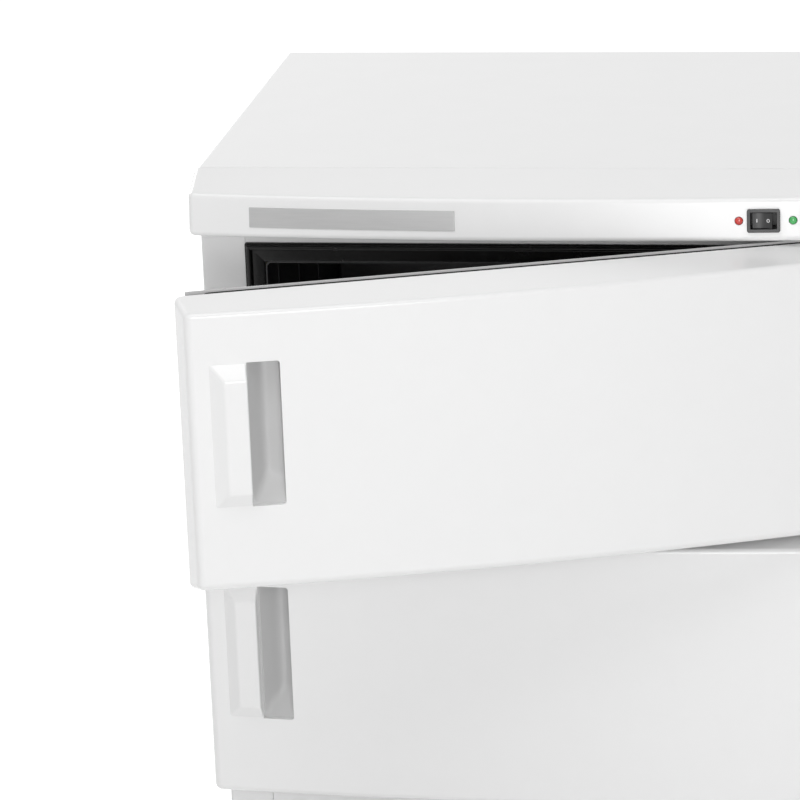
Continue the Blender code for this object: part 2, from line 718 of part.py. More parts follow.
def build_fascia(root):
    """Make the hollow moulding over the doors."""
    half = FASCIA_WIDTH / 2
    crest_z = FASCIA_Z + FASCIA_FACE
    crest_y = -FASCIA_PROUD + FASCIA_LEAN
    rear = CUT_OVERRUN
    rear_z = crest_z + FASCIA_SLOPE_RISE * (rear - crest_y) / (-GAP - crest_y)
    section = [(rear, FASCIA_Z), (-FASCIA_PROUD, FASCIA_Z), (crest_y, crest_z), (rear, rear_z)]
    builder = prism_builder(section, "YZ", -half, half)
    slice_along_x(builder, -half, half, BULGE_SEGMENTS)
    open_side(builder, 1, rear)
    for vertex in builder.verts:
        if vertex.co.y < -FASCIA_PROUD / 2:
            vertex.co.y -= bulge_at(vertex.co.x, half, DOOR_BULGE)
    fascia = finish_mesh("top_fascia", builder, WHITE_PLASTIC, root)
    round_edges(fascia, FASCIA_EDGE_RADIUS, 2, radians(30))
    give_wall(fascia, FASCIA_WALL)
    cut(fascia, block("fascia_rear_trim", (-FASCIA_WIDTH, -GAP, FASCIA_Z - CUT_OVERRUN),
                      (FASCIA_WIDTH, 2 * rear, rear_z + CUT_OVERRUN), None, root))
    return fascia


def face_empty(name, x, z, root):
    """Make an empty that lies on the fascia's front face."""
    tilt = bulge_tilt(x, FASCIA_WIDTH / 2, DOOR_BULGE)
    lean = -atan(FASCIA_LEAN / FASCIA_FACE)
    return make_empty(name, root, (x, fascia_front(x) + (z - FASCIA_FACE / 2) * FASCIA_LEAN / FASCIA_FACE,
                                   FASCIA_Z + z), (lean, 0, tilt))


def build_nameplate(root):
    """Lay the bare nameplate on the fascia, bent to its curve."""
    half = FASCIA_WIDTH / 2
    left = -half + NAMEPLATE_FROM_END
    right = left + NAMEPLATE_WIDTH
    top = FASCIA_FACE - NAMEPLATE_DROP
    bottom = top - NAMEPLATE_HEIGHT
    builder = box_builder((left, 0, bottom), (right, NAMEPLATE_THICKNESS, top))
    slice_along_x(builder, left, right, BULGE_SEGMENTS // 2)
    for vertex in builder.verts:
        lean = (vertex.co.z - FASCIA_FACE / 2) * FASCIA_LEAN / FASCIA_FACE
        vertex.co.y += fascia_front(vertex.co.x) + lean - NAMEPLATE_THICKNESS - GAP
        vertex.co.z += FASCIA_Z
    finish_mesh("nameplate", builder, PLATE_GREY, root)


def build_switch(level, x, lens_colour, fascia, root):
    """Fit a rocker switch and its lamp into the fascia."""
    middle = FASCIA_FACE / 2
    seat = face_empty(level + "_switch_seat", x, middle, root)
    half_x = SWITCH_WIDTH / 2
    half_z = SWITCH_HEIGHT / 2
    body_x = half_x - SWITCH_BEZEL
    body_z = half_z - SWITCH_BEZEL
    cut(fascia, block(level + "_switch_cutout", (-body_x - GAP, -CUT_OVERRUN, -body_z - GAP),
                      (body_x + GAP, FASCIA_WALL + CUT_OVERRUN, body_z + GAP), None, seat))
    housing = block(level + "_switch_housing", (-half_x, -SWITCH_BEZEL - GAP, -half_z),
                    (half_x, -GAP, half_z), BLACK_PLASTIC, seat)
    join(housing, block(level + "_switch_body", (-body_x, -SWITCH_BEZEL / 2, -body_z),
                        (body_x, SWITCH_BODY_DEPTH, body_z), None, seat))
    well_x = half_x - SWITCH_FRAME
    well_z = half_z - SWITCH_FRAME
    cut(housing, block(level + "_switch_well", (-well_x, -CUT_OVERRUN, -well_z),
                       (well_x, SWITCH_BODY_DEPTH - SWITCH_BEZEL, well_z), None, seat))
    build_rocker(level, well_x - GAP, well_z - GAP, seat)
    build_lens(level, x, middle, lens_colour, fascia, root)


def build_rocker(level, half_x, half_z, seat):
    """Make the rocking key with its pivot on its own origin, tipped to one side at rest."""
    key_half = half_x - ROCKER_END_GAP
    proud = ROCKER_PIVOT_DEPTH + SWITCH_BEZEL
    rear_half = key_half * ROCKER_TAPER
    outline = [(-key_half, -proud), (0, -proud * ROCKER_DIP), (key_half, -proud),
               (rear_half, ROCKER_PIVOT_DEPTH), (0, SWITCH_BODY_DEPTH / 2), (-rear_half, ROCKER_PIVOT_DEPTH)]
    prism(level + "_switch_rocker", outline, "XY", -half_z, half_z, BLACK_PLASTIC, seat,
          (0, ROCKER_PIVOT_DEPTH, 0), (0, 0, -ROCKER_TILT))


def build_lens(level, switch_x, middle, colour, fascia, root):
    """Set the indicator lens into the fascia beside its switch."""
    x = switch_x - LENS_FROM_SWITCH
    seat = face_empty(level + "_lens_seat", x, middle, root)
    cut(fascia, rod(level + "_lens_hole", (0, -CUT_OVERRUN, 0), (0, FASCIA_WALL + CUT_OVERRUN, 0),
                    LENS_RADIUS + GAP, None, seat))
    rings = [(LENS_RADIUS * sin(angle), LENS_DOME * cos(angle)) for angle in (0, pi / 6, pi / 3, pi / 2)]
    profile = rings + [(LENS_RADIUS, -LENS_LENGTH), (0, -LENS_LENGTH)]
    turned(level + "_indicator_lens", profile, colour, seat, (0, 0, 0), (radians(90), 0, 0))


# Hinges

def bracket_levels():
    """Give the Z of the underside of each bracket."""
    return {"hinge_bracket_top": DOOR_TOP_Z + (FASCIA_GAP - BRACKET_THICKNESS) / 2,
            "hinge_bracket_middle": UPPER_DOOR_Z - (DOOR_SPACING + BRACKET_THICKNESS) / 2,
            "hinge_bracket_bottom": LOWER_DOOR_Z - RUNNING_GAP - BRACKET_THICKNESS}


def bracket_sides():
    """Give the X range of the brackets where they pass through the stile."""
    right = INSIDE_X - BRACKET_SIDE_CLEARANCE
    return HINGE_X - BRACKET_REACH, right


def bracket_slot(bracket_z):
    """Give the corners of the slot that a bracket passes through."""
    left, right = bracket_sides()
    return ((left - GAP, -CUT_OVERRUN, bracket_z - GAP),
            (right + GAP, SHEET + CUT_OVERRUN, bracket_z + BRACKET_THICKNESS + GAP))


def build_brackets(root):
    """Make the hinge brackets, whose tabs sit behind the stile."""
    left, right = bracket_sides()
    tab_front = SHEET + GAP
    tab_back = tab_front + BRACKET_THICKNESS
    nose = HINGE_Y - BRACKET_NOSE
    shoulder = HINGE_X + BRACKET_SHOULDER
    waist = HINGE_Y / 3
    outline = [(left, tab_back), (right, tab_back), (right, waist), (shoulder, waist - BRACKET_CHAMFER),
               (shoulder, nose + BRACKET_CHAMFER), (shoulder - BRACKET_CHAMFER, nose),
               (HINGE_X - BRACKET_NOSE, nose), (left, waist)]
    for name, z in bracket_levels().items():
        high = z + BRACKET_THICKNESS
        bracket = prism(name, outline, "XY", z, high, STEEL, root)
        down, up = (BRACKET_TAB, 0) if z > DOOR_TOP_Z else (0, BRACKET_TAB)
        join(bracket, block(name + "_tab", (left, tab_front, z - down), (right, tab_back, high + up),
                            None, root))
        cut(bracket, rod(name + "_hole", (HINGE_X, HINGE_Y, z - CUT_OVERRUN),
                         (HINGE_X, HINGE_Y, high + CUT_OVERRUN), PIN_RADIUS + GAP, None, root))


def build_pins(root):
    """Put the hinge pins through their brackets into the doors."""
    levels = bracket_levels()
    lower_door_top = UPPER_DOOR_Z - DOOR_SPACING
    spans = {"hinge_pin_top": (DOOR_TOP_Z - PIN_ENGAGEMENT, levels["hinge_bracket_top"] + BRACKET_THICKNESS),
             "hinge_pin_middle": (lower_door_top - PIN_ENGAGEMENT, UPPER_DOOR_Z + PIN_ENGAGEMENT),
             "hinge_pin_bottom": (levels["hinge_bracket_bottom"], LOWER_DOOR_Z + PIN_ENGAGEMENT)}
    for name, (low, high) in spans.items():
        rod(name, (HINGE_X, HINGE_Y, low), (HINGE_X, HINGE_Y, high), PIN_RADIUS, STEEL, root)


# Doors, in a frame whose Z axis is the hinge and whose origin is at the door's bottom

def door_face(x):
    """Give the Y of a door's front face at an X in the door's frame."""
    return DOOR_FRONT - bulge_at(x - DOOR_MIDDLE, DOOR_WIDTH / 2, DOOR_BULGE)


def build_door_shell(level, door):
    """Make the drafted, bulged outer moulding, open at its back."""
    builder = box_builder((DOOR_LEFT, DOOR_FRONT, 0), (HINGE_INSET, SHELL_REAR, DOOR_HEIGHT))
    slice_along_x(builder, DOOR_LEFT, HINGE_INSET, BULGE_SEGMENTS)
    open_side(builder, 1, SHELL_REAR)
    narrowing = 1.0 - 2.0 * DOOR_SIDE_DRAFT / DOOR_WIDTH
    for vertex in builder.verts:
        if vertex.co.y < (DOOR_FRONT + SHELL_REAR) / 2:
            vertex.co.y = door_face(vertex.co.x)
            vertex.co.x = DOOR_MIDDLE + (vertex.co.x - DOOR_MIDDLE) * narrowing
            vertex.co.z += -DOOR_TOP_DRAFT if vertex.co.z > DOOR_HEIGHT / 2 else DOOR_BOTTOM_DRAFT
    shell = finish_mesh(level + "_door_shell", builder, WHITE_PLASTIC, door)
    round_edges(shell, DOOR_EDGE_RADIUS, 3)
    give_wall(shell, DOOR_WALL)
    for place, low, high in (("top", DOOR_HEIGHT - BUSH_LENGTH, DOOR_HEIGHT + BUSH_LENGTH),
                             ("bottom", -BUSH_LENGTH, BUSH_LENGTH)):
        hole = rod(level + "_bush_hole_" + place, (0, 0, low), (0, 0, high), BUSH_RADIUS + GAP, None, door)
        cut(shell, hole)
    return shell


def build_inner_panel(level, door):
    """Make the grey rear panel, with the boss that plugs into the shell."""
    plate_front = DOOR_REAR - INNER_PANEL_THICKNESS
    plate = block(level + "_door_inner_panel",
                  (DOOR_LEFT + INNER_PANEL_END_INSET, plate_front, INNER_PANEL_INSET),
                  (HINGE_INSET - INNER_PANEL_END_INSET, DOOR_REAR, DOOR_HEIGHT + INNER_PANEL_RISE),
                  GREY_PLASTIC, door)
    side, end = boss_insets()
    boss = block(level + "_panel_boss", (DOOR_LEFT + side, plate_front - INNER_PANEL_BOSS, end),
                 (HINGE_INSET - side, plate_front + INNER_PANEL_THICKNESS / 2, DOOR_HEIGHT - end), None, door)
    join(plate, boss)
    for place, low, high in (("top", DOOR_HEIGHT - 2 * BUSH_LENGTH, DOOR_HEIGHT),
                             ("bottom", 0, 2 * BUSH_LENGTH)):
        cut(plate, block(level + "_bush_notch_" + place, (-2 * BUSH_RADIUS, -2 * BUSH_RADIUS, low),
                         (2 * HINGE_INSET, plate_front - GAP, high), None, door))
    sweep = BRACKET_REACH + BRACKET_NOSE + RUNNING_GAP
    cut(plate, block(level + "_bracket_notch", (-sweep, -DOOR_EDGE_DEPTH, DOOR_HEIGHT - INNER_PANEL_INSET),
                     (2 * HINGE_INSET, 2 * DOOR_REAR, DOOR_HEIGHT + 2 * INNER_PANEL_RISE), None, door))


def boss_insets():
    """Give how far the inner panel's boss lies inside the door's ends, and inside its top and bottom."""
    depth = (INNER_PANEL_BOSS - SHADOW_LINE) / (DOOR_EDGE_DEPTH - INNER_PANEL_THICKNESS - SHADOW_LINE)
    side = DOOR_WALL + GAP + DOOR_SIDE_DRAFT * depth
    end = DOOR_WALL + GAP + DOOR_TOP_DRAFT * depth
    return max(side, DOOR_EDGE_RADIUS), max(end, DOOR_EDGE_RADIUS)


def build_bushes(level, door):
    """Put a plain bush in each end of the door for the hinge pins."""
    bore = PIN_RADIUS + GAP
    for place, low in (("top", DOOR_HEIGHT - BUSH_LENGTH), ("bottom", 0)):
        profile = [(BUSH_RADIUS, BUSH_LENGTH), (BUSH_RADIUS, 0), (bore, 0), (bore, BUSH_LENGTH)]
        turned(level + "_hinge_bush_" + place, profile, BLACK_PLASTIC, door, (0, 0, low), ring=True)


def handle_empty(level, door):
    """Make the empty on the door's face where the recess begins."""
    x = DOOR_LEFT + RECESS_FROM_DOOR_END
    tilt = bulge_tilt(x + RECESS_WIDTH / 2 - DOOR_MIDDLE, DOOR_WIDTH / 2, DOOR_BULGE)
    z = DOOR_HEIGHT - RECESS_FROM_DOOR_TOP - RECESS_HEIGHT / 2
    return make_empty(level + "_handle_seat", door, (x, door_face(x), z), (0, 0, tilt))


def scoop_builder():
    """Make the hollow of the finger recess: a trough, deepest at its middle, that slopes out at its foot."""
    half = RECESS_HEIGHT / 2
    mouth = DOOR_WALL / 2
    middle = RECESS_WIDTH / 2
    shoulder = RECESS_DEPTH - (RECESS_DEPTH - RECESS_LIP) * RECESS_TROUGH / middle / 2
    outline = [(0, mouth), (0, RECESS_LIP), (middle - RECESS_TROUGH, shoulder), (middle, RECESS_DEPTH),
               (middle + RECESS_TROUGH, shoulder), (RECESS_WIDTH, RECESS_LIP), (RECESS_WIDTH, mouth)]
    builder = prism_builder(outline, "XY", -half, half)
    for vertex in builder.verts:
        if vertex.co.z < 0:
            vertex.co.z += RECESS_END_SLOPE * (vertex.co.y - mouth) / (RECESS_DEPTH - mouth)
    return builder


def cup_corners(clearance):
    """Give the corners of the block that holds the finger recess."""
    half = RECESS_HEIGHT / 2 + CUP_WALL + clearance
    return ((-CUP_WALL - clearance, DOOR_WALL + GAP, -half),
            (RECESS_WIDTH + CUP_WALL + clearance, RECESS_DEPTH + CUP_WALL + clearance, half))


def build_handle(level, door, shell):
    """Make the raised grip and the recess behind it."""
    seat = handle_empty(level, door)
    half = RECESS_HEIGHT / 2
    cut(shell, block(level + "_recess_cutout", (0, -CUT_OVERRUN, -half),
                     (RECESS_WIDTH, DOOR_WALL + CUT_OVERRUN, half), None, seat))
    cup = block(level + "_handle_cup", *cup_corners(0), CUP_PLASTIC, seat)
    cut(cup, finish_mesh(level + "_recess_scoop", scoop_builder(), None, seat))

    width = GRIP_FACE + GRIP_BEVEL
    builder = box_builder((-width, -GRIP_PROUD - GAP, -half), (0, -GAP, half))
    for vertex in builder.verts:
        if vertex.co.y < -GRIP_PROUD / 2:
            vertex.co.z *= (half - GRIP_END_BEVEL) / half
            if vertex.co.x < -GRIP_FACE:
                vertex.co.x = -GRIP_FACE
    grip = finish_mesh(level + "_handle_grip", builder, WHITE_PLASTIC, seat)
    round_edges(grip, GRIP_EDGE, 1, radians(20))
    return seat


def build_door_foam(level, door, seat):
    """Fill the shell with a foam slab that leaves room for the cup and the hinge."""
    side, end = boss_insets()
    front = DOOR_FRONT + DOOR_WALL + DOOR_EDGE_RADIUS
    rear = DOOR_REAR - INNER_PANEL_THICKNESS - INNER_PANEL_BOSS - GAP
    top = DOOR_HEIGHT - DOOR_TOP_DRAFT - end
    foam = block(level + "_door_foam", (DOOR_LEFT + side + DOOR_SIDE_DRAFT, front, end + DOOR_BOTTOM_DRAFT),
                 (-FOAM_FROM_HINGE, rear, top), FOAM, door)
    low, high = cup_corners(GAP)
    cut(foam, block(level + "_foam_cutout", (low[0], -DOOR_EDGE_DEPTH, low[2]), high, None, seat))


def build_catch(level, door_z, root, door):
    """Put a magnet catch on the stile and its strike plate on the door."""
    width, depth, height = CATCH_SIZE
    x = -HALF_BODY + CATCH_FROM_SIDE
    middle = door_z + DOOR_HEIGHT / 2
    block(level + "_magnet_catch", (x - width / 2, -GAP - depth, middle - height / 2),
          (x + width / 2, -GAP, middle + height / 2), BLACK_PLASTIC, root)
    door_x = x - HINGE_X
    seat = DOOR_REAR + GAP
    block(level + "_strike_plate", (door_x - width / 2, seat, (DOOR_HEIGHT - height) / 2),
          (door_x + width / 2, seat + STRIKE_THICKNESS, (DOOR_HEIGHT + height) / 2), STEEL, door)


def build_door(level, door_z, opening, root):
    """Build one door about its hinge, turned open by an angle."""
    door = make_empty(level + "_door_hinge", root, (HINGE_X, HINGE_Y, door_z), (0, 0, opening))
    shell = build_door_shell(level, door)
    build_inner_panel(level, door)
    build_bushes(level, door)
    seat = build_handle(level, door, shell)
    build_door_foam(level, door, seat)
    build_catch(level, door_z, root, door)


# Assembly

def centre_on_origin(root):
    """Move the assembly so that the middle of its box, front to back, is at the origin."""
    bpy.context.view_layer.update()
    graph = bpy.context.evaluated_depsgraph_get()
    depths = []
    for placed in PARTS.objects:
        if placed.type == "MESH":
            shape = placed.evaluated_get(graph)
            depths += [(placed.matrix_world @ vertex.co).y for vertex in shape.to_mesh().vertices]
            shape.to_mesh_clear()
    root.location.y = -(min(depths) + max(depths)) / 2
    bpy.context.view_layer.update()


def main():
    """Build every piece of the cabinet."""
    root = make_empty("towel_warmer_root")
    build_wrapper(root)
    build_base_and_back(root)
    build_feet(root)
    build_front_frame(root)
    build_insulation(root)
    build_terminal_block(root)
    build_harness(root)
    build_inlet(root)
    build_screws(root)
    fascia = build_fascia(root)
    build_nameplate(root)
    build_switch("upper", UPPER_SWITCH_X, LENS_RED, fascia, root)
    build_switch("lower", LOWER_SWITCH_X, LENS_GREEN, fascia, root)
    build_brackets(root)
    build_pins(root)
    openings = {"upper": DOOR_AJAR, "lower": 0.0}
    for level, door_z in DOOR_LEVELS.items():
        build_gasket(level, door_z, root)
        build_chamber(level, door_z, root)
        build_door(level, door_z, openings[level], root)
    centre_on_origin(root)


main()
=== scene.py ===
"""Looks of the two-door hot towel cabinet: finer pieces, materials, light and camera.

Metres, +Z up, front towards -Y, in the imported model's frame.
"""
import json
from math import atan, cos, pi, radians, sin

import bmesh
import bpy
from mathutils import Matrix, Vector

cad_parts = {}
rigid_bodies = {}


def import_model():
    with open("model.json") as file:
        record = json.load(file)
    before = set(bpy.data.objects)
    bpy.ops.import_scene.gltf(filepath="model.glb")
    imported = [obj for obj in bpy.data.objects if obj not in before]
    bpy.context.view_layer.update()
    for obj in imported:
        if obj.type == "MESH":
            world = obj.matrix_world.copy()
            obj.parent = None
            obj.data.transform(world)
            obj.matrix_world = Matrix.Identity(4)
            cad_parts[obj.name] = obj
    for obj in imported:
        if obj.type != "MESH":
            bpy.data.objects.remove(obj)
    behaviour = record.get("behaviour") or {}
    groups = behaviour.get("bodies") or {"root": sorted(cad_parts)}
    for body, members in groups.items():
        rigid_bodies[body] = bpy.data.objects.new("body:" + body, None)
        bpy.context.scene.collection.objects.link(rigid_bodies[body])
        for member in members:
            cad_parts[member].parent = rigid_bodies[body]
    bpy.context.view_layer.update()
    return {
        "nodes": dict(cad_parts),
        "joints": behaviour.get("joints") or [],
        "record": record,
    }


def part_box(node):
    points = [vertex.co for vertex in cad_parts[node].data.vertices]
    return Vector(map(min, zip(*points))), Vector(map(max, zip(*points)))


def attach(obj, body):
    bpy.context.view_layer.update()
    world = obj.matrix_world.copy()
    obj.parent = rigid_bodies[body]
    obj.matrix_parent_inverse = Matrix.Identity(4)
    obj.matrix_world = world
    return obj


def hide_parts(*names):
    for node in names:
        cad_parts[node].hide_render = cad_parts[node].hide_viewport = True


# Camera, placed from the middle of the front frame at the height of the upper door's top
CAMERA_OFFSET = (0.3376, -2.5458, 0.7087)
CAMERA_YAW = 0.1672
CAMERA_PITCH = 0.3087
CAMERA_ROLL = -0.0394
CAMERA_LENS = 185.73
SENSOR_WIDTH = 36.0

# Light
AMBIENT = 0.30
WHITE = 1.0
FLOOR_SIZE = 30.0
FLOOR_GREY = 0.80
FLOOR_LIT = 0.60
FLOOR_GLOW = 0.74
LAMP_DISTANCE = 2.6
LAMP_TARGET = (0.0, -0.05, 0.30)

# Each lamp's name, azimuth and elevation in degrees, width and height in metres, and power in watts
LAMPS = (
    ("key", 10.0, 11.0, 1.0, 1.0, 24.3),
    ("high", -15.0, 60.0, 2.2, 0.9, 21.2),
    ("rear_left", -130.0, 30.0, 1.0, 1.0, 28.5),
    ("rear_right", 130.0, 30.0, 1.0, 1.0, 21.0),
)

# Patterns of the materials
TINT_STOPS = (0.3, 0.7)
NOISE_LOW = 0.25
NOISE_HIGH = 0.75
LEAST_ROUGHNESS = 0.02
EVEN = (1.0, 1.0, 1.0)
BRUSHED_X = (0.02, 1.0, 1.0)
BRUSHED_Y = (1.0, 0.02, 1.0)
FIBRES = (1.0, 1.0, 4.0)

# Sizes that follow the CAD model
GAP = 0.0003
SHEET = 0.0012
BODY_WIDTH = 0.440
BODY_DEPTH = 0.330
FOOT_HEIGHT = 0.014
FOOT_TAPER = 0.8
PLINTH_HEIGHT = 0.022
BODY_EDGE_RADIUS = 0.003
FRAME_HEADROOM = 0.012
DOOR_WIDTH = 0.454
DOOR_HEIGHT = 0.1925
DOOR_SPACING = 0.0034
DOOR_EDGE_DEPTH = 0.0245
DOOR_BULGE = 0.0105
DOOR_WALL = 0.0025
DOOR_EDGE_RADIUS = 0.0045
DOOR_TOP_DRAFT = 0.0065
DOOR_SIDE_DRAFT = 0.0035
DOOR_BOTTOM_DRAFT = 0.0055
DOOR_AJAR = radians(19.0)
PANEL_THICKNESS = 0.0025
PANEL_INSET = 0.0008
PANEL_END_INSET = 0.0072
PANEL_RISE = 0.0016
PANEL_BOSS = 0.0060
SHADOW_LINE = 0.0012
HINGE_INSET = 0.013
HINGE_DEPTH = 0.011
BUSH_RADIUS = 0.005
BUSH_LENGTH = 0.013
RECESS_WIDTH = 0.021
RECESS_HEIGHT = 0.094
RECESS_DEPTH = 0.014
RECESS_FROM_DOOR_END = 0.0396
RECESS_FROM_DOOR_TOP = 0.039
RECESS_CORNER = 0.0020
CUP_WALL = 0.0025
GRIP_FACE = 0.0141
GRIP_BEVEL = 0.0095
GRIP_PROUD = 0.006
GRIP_END_BEVEL = 0.010
GRIP_ROOT = 0.0008
GRIP_EDGE = 0.0011
FASCIA_WIDTH = 0.444
FASCIA_GAP = 0.0034
FASCIA_PROUD = 0.027
FASCIA_LEAN = 0.003
FASCIA_FACE = 0.0275
FASCIA_SLOPE_RISE = 0.0115
FASCIA_WALL = 0.0022
FASCIA_EDGE_RADIUS = 0.004
FASCIA_CREST_SHARE = 0.7
NAMEPLATE_WIDTH = 0.1345
NAMEPLATE_HEIGHT = 0.0128
NAMEPLATE_THICKNESS = 0.0006
NAMEPLATE_FROM_END = 0.0412
NAMEPLATE_DROP = 0.0073
GASKET_FROM_DOOR_END = 0.0365
GASKET_FROM_DOOR_TOP = 0.0075
GASKET_WIDTH = 0.013
GASKET_BASE = 0.0016
GASKET_HEIGHT = 0.0042
GASKET_CORNER = 0.0015
SWITCH_WIDTH = 0.021
SWITCH_HEIGHT = 0.015
SWITCH_BEZEL = 0.0015
SWITCH_FRAME = 0.0022
SWITCH_BODY_DEPTH = 0.017
LENS_RADIUS = 0.0025
LENS_DOME = 0.00125
LENS_LENGTH = 0.007
LENS_FROM_SWITCH = 0.0155
SWITCH_FROM_END = {"upper": 0.072, "lower": 0.038}
ROCKER_TILT = radians(9.0)
ROCKER_PIVOT_DEPTH = 0.0035
ROCKER_DIP = 0.7
ROCKER_TAPER = 0.8
BRACKET_THICKNESS = 0.0016
BRACKET_REACH = 0.014
BRACKET_SIDE_CLEARANCE = 0.0018
BRACKET_SWEEP = 0.0239
RUNNING_GAP = 0.0009
LINER_WALL = 0.001
LINER_CORNER = 0.004
TRAY_WALL = 0.0008
TRAY_EDGE = 0.0018
RACK_WIRES = 11
RACK_WIRE_RADIUS = 0.0015
RACK_ROD_RADIUS = 0.002
RACK_ROD_INSET = 0.013
CATCH_SIZE = (0.010, 0.0036, 0.038)
CATCH_FROM_SIDE = 0.015
STRIKE_THICKNESS = 0.0005
VENT_COUNT = 8
VENT_WIDTH = 0.060
VENT_HEIGHT = 0.0035
VENT_PITCH = 0.010
VENT_FROM_TOP = 0.050
INLET_FROM_SIDE = 0.070
INLET_ABOVE_BASE = 0.036
INLET_FLANGE = (0.032, 0.0022, 0.026)
INLET_BODY = (0.027, 0.020, 0.020)
INLET_WALL = 0.003
INLET_PIN = (0.002, 0.010, 0.004)
INLET_PIN_SPACING = 0.007
SCREW_HEAD_HEIGHT = 0.0020
SCREW_SHANK_RADIUS = 0.0017
SCREW_LENGTH = 0.010

# Sizes of the finer detail
SEAT = GAP / 3
GASKET_LEDGE = 0.0008
GASKET_BEAD = 0.0042
RECESS_FLOOR = 0.0160
RECESS_DEEPEST = 0.50
RECESS_GRIP_LIP = 0.0015
RECESS_LIP = 0.0125
RECESS_END_SLOPE = 0.0170
RECESS_BLEND = 0.005
FINE_EDGE = 0.0003
SMALL_EDGE = 0.0006
DOOR_TOP_SHARE = 0.6
PLATE_THICKNESS = 0.0012
# Painted shadow: sizes of the black strip that darkens the gap before each door's grey panel
SHADOW_STRIP_WIDTH = 0.006
SHADOW_STRIP_DEPTH = 0.0013
SHADOW_STRIP_RISE = 0.0002
SHADOW_STRIP_END_INSET = 0.010
POCKET_INSET = 0.060
POCKET_MARGIN = 0.030
POCKET_DEPTH = 0.0005
LINER_RIBS = 3
LINER_RIB_RADIUS = 0.0006
LINER_RIB_EDGE = LINER_RIB_RADIUS * 0.8
LINER_RIB_FIRST = 0.037
LINER_RIB_STEP = 0.071
LINER_RIB_MARGIN = 0.012
RACK_WIRE_EDGE = RACK_WIRE_RADIUS * 0.7
TRAY_BEAD = 0.0009
TRAY_CORNER = 0.004
FOOT_EDGE = 0.0012
FOOT_DIMPLE = 0.004
HOOD_REACH = 0.0019
HOOD_RISE = 0.0052
HOOD_WALL = 0.0005
SCREW_RIM = 0.0005
SCREW_CROSS = (0.0020, 0.0004, 0.0010)
INLET_CORNER = 0.0025
INLET_KEY = 0.003
CATCH_SETBACK = 0.0002
CATCH_POLES = (-0.0026, 0.0026)
CATCH_POLE = 0.0008
STRIKE_CORNER = 0.0015
STRIKE_HOLE = 0.0014
STRIKE_HOLE_SPACING = 0.012
MARK_PLACE = 0.58
MARK_HEIGHT = 0.0011
MARK_LINE = 0.0004
MARK_RISE = 0.0001

# Fineness
DOOR_STRIPS = 48
SCOOP_STRIPS = 32
BEAD_STEPS = 12
KEY_STEPS = 12
DOME_STEPS = 8
ROUND_STEPS = 6
FOLD_STEPS = 5
SOFT_STEPS = 4
EDGE_STEPS = 3
FINE_STEPS = 2
RING_SIDES = 32
WIRE_SIDES = 16
LEAST_CORNER = 0.125
CUT_OVERRUN = 0.003
TOUCH = 0.000001
WELD_DISTANCE = 0.00001

# Angles in degrees past which an edge is rounded, or looks sharp
GRIP_ANGLE = 20.0
KEY_ANGLE = 25.0
SHARP_ANGLE = 30.0
SMOOTH_ANGLE = 35.0
EDGE_ANGLE = 40.0
SOFT_ANGLE = 50.0
ROD_ANGLE = 60.0

# Planes and levels that follow from the sizes
LOWER_DOOR_Z = FOOT_HEIGHT + PLINTH_HEIGHT
UPPER_DOOR_Z = LOWER_DOOR_Z + DOOR_HEIGHT + DOOR_SPACING
DOOR_TOP_Z = UPPER_DOOR_Z + DOOR_HEIGHT
FASCIA_Z = DOOR_TOP_Z + FASCIA_GAP
FASCIA_TOP_Z = FASCIA_Z + FASCIA_FACE + FASCIA_SLOPE_RISE
TOP_Z = FASCIA_TOP_Z
HALF_BODY = BODY_WIDTH / 2
HALF_OPENING = DOOR_WIDTH / 2 - GASKET_FROM_DOOR_END
FRAME_TOP_Z = DOOR_TOP_Z + FRAME_HEADROOM
INLET_X = HALF_BODY - INLET_FROM_SIDE
INLET_Z = FOOT_HEIGHT + INLET_ABOVE_BASE
DOOR_REAR = HINGE_DEPTH
SHELL_REAR = DOOR_REAR - PANEL_THICKNESS - SHADOW_LINE
DOOR_FRONT = DOOR_REAR - DOOR_EDGE_DEPTH
DOOR_LEFT = HINGE_INSET - DOOR_WIDTH
DOOR_MIDDLE = DOOR_LEFT + DOOR_WIDTH / 2
DOOR_LEVELS = {"lower": LOWER_DOOR_Z, "upper": UPPER_DOOR_Z}
BRACKET_LEVELS = (DOOR_TOP_Z + (FASCIA_GAP - BRACKET_THICKNESS) / 2,
                  UPPER_DOOR_Z - (DOOR_SPACING + BRACKET_THICKNESS) / 2,
                  LOWER_DOOR_Z - RUNNING_GAP - BRACKET_THICKNESS)

for old in list(bpy.data.objects):
    bpy.data.objects.remove(old, do_unlink=True)
SCENE = bpy.context.scene
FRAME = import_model()
JOINTS = {joint["name"]: joint for joint in FRAME["joints"]}
BODY_PLACE = Matrix.Translation((0.0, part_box("front_frame")[0].y, 0.0))
HINGE_X = JOINTS["lower_door_hinge"]["pos_m"][0]


# Materials

def add_noise(tree, scale, stretch, detail=3.0):
    """Add a noise in the piece's own coordinates, stretched along some axes."""
    coordinates = tree.nodes.new("ShaderNodeTexCoord")
    mapping = tree.nodes.new("ShaderNodeMapping")
    mapping.inputs["Scale"].default_value = stretch
    texture = tree.nodes.new("ShaderNodeTexNoise")
    texture.inputs["Scale"].default_value = scale
    texture.inputs["Detail"].default_value = detail
    tree.links.new(coordinates.outputs["Object"], mapping.inputs["Vector"])
    tree.links.new(mapping.outputs["Vector"], texture.inputs["Vector"])
    return texture.outputs[0]


def add_cells(tree, scale):
    """Add a pattern of cells in the piece's own coordinates."""
    coordinates = tree.nodes.new("ShaderNodeTexCoord")
    texture = tree.nodes.new("ShaderNodeTexVoronoi")
    texture.inputs["Scale"].default_value = scale
    tree.links.new(coordinates.outputs["Object"], texture.inputs["Vector"])
    return texture.outputs["Distance"]


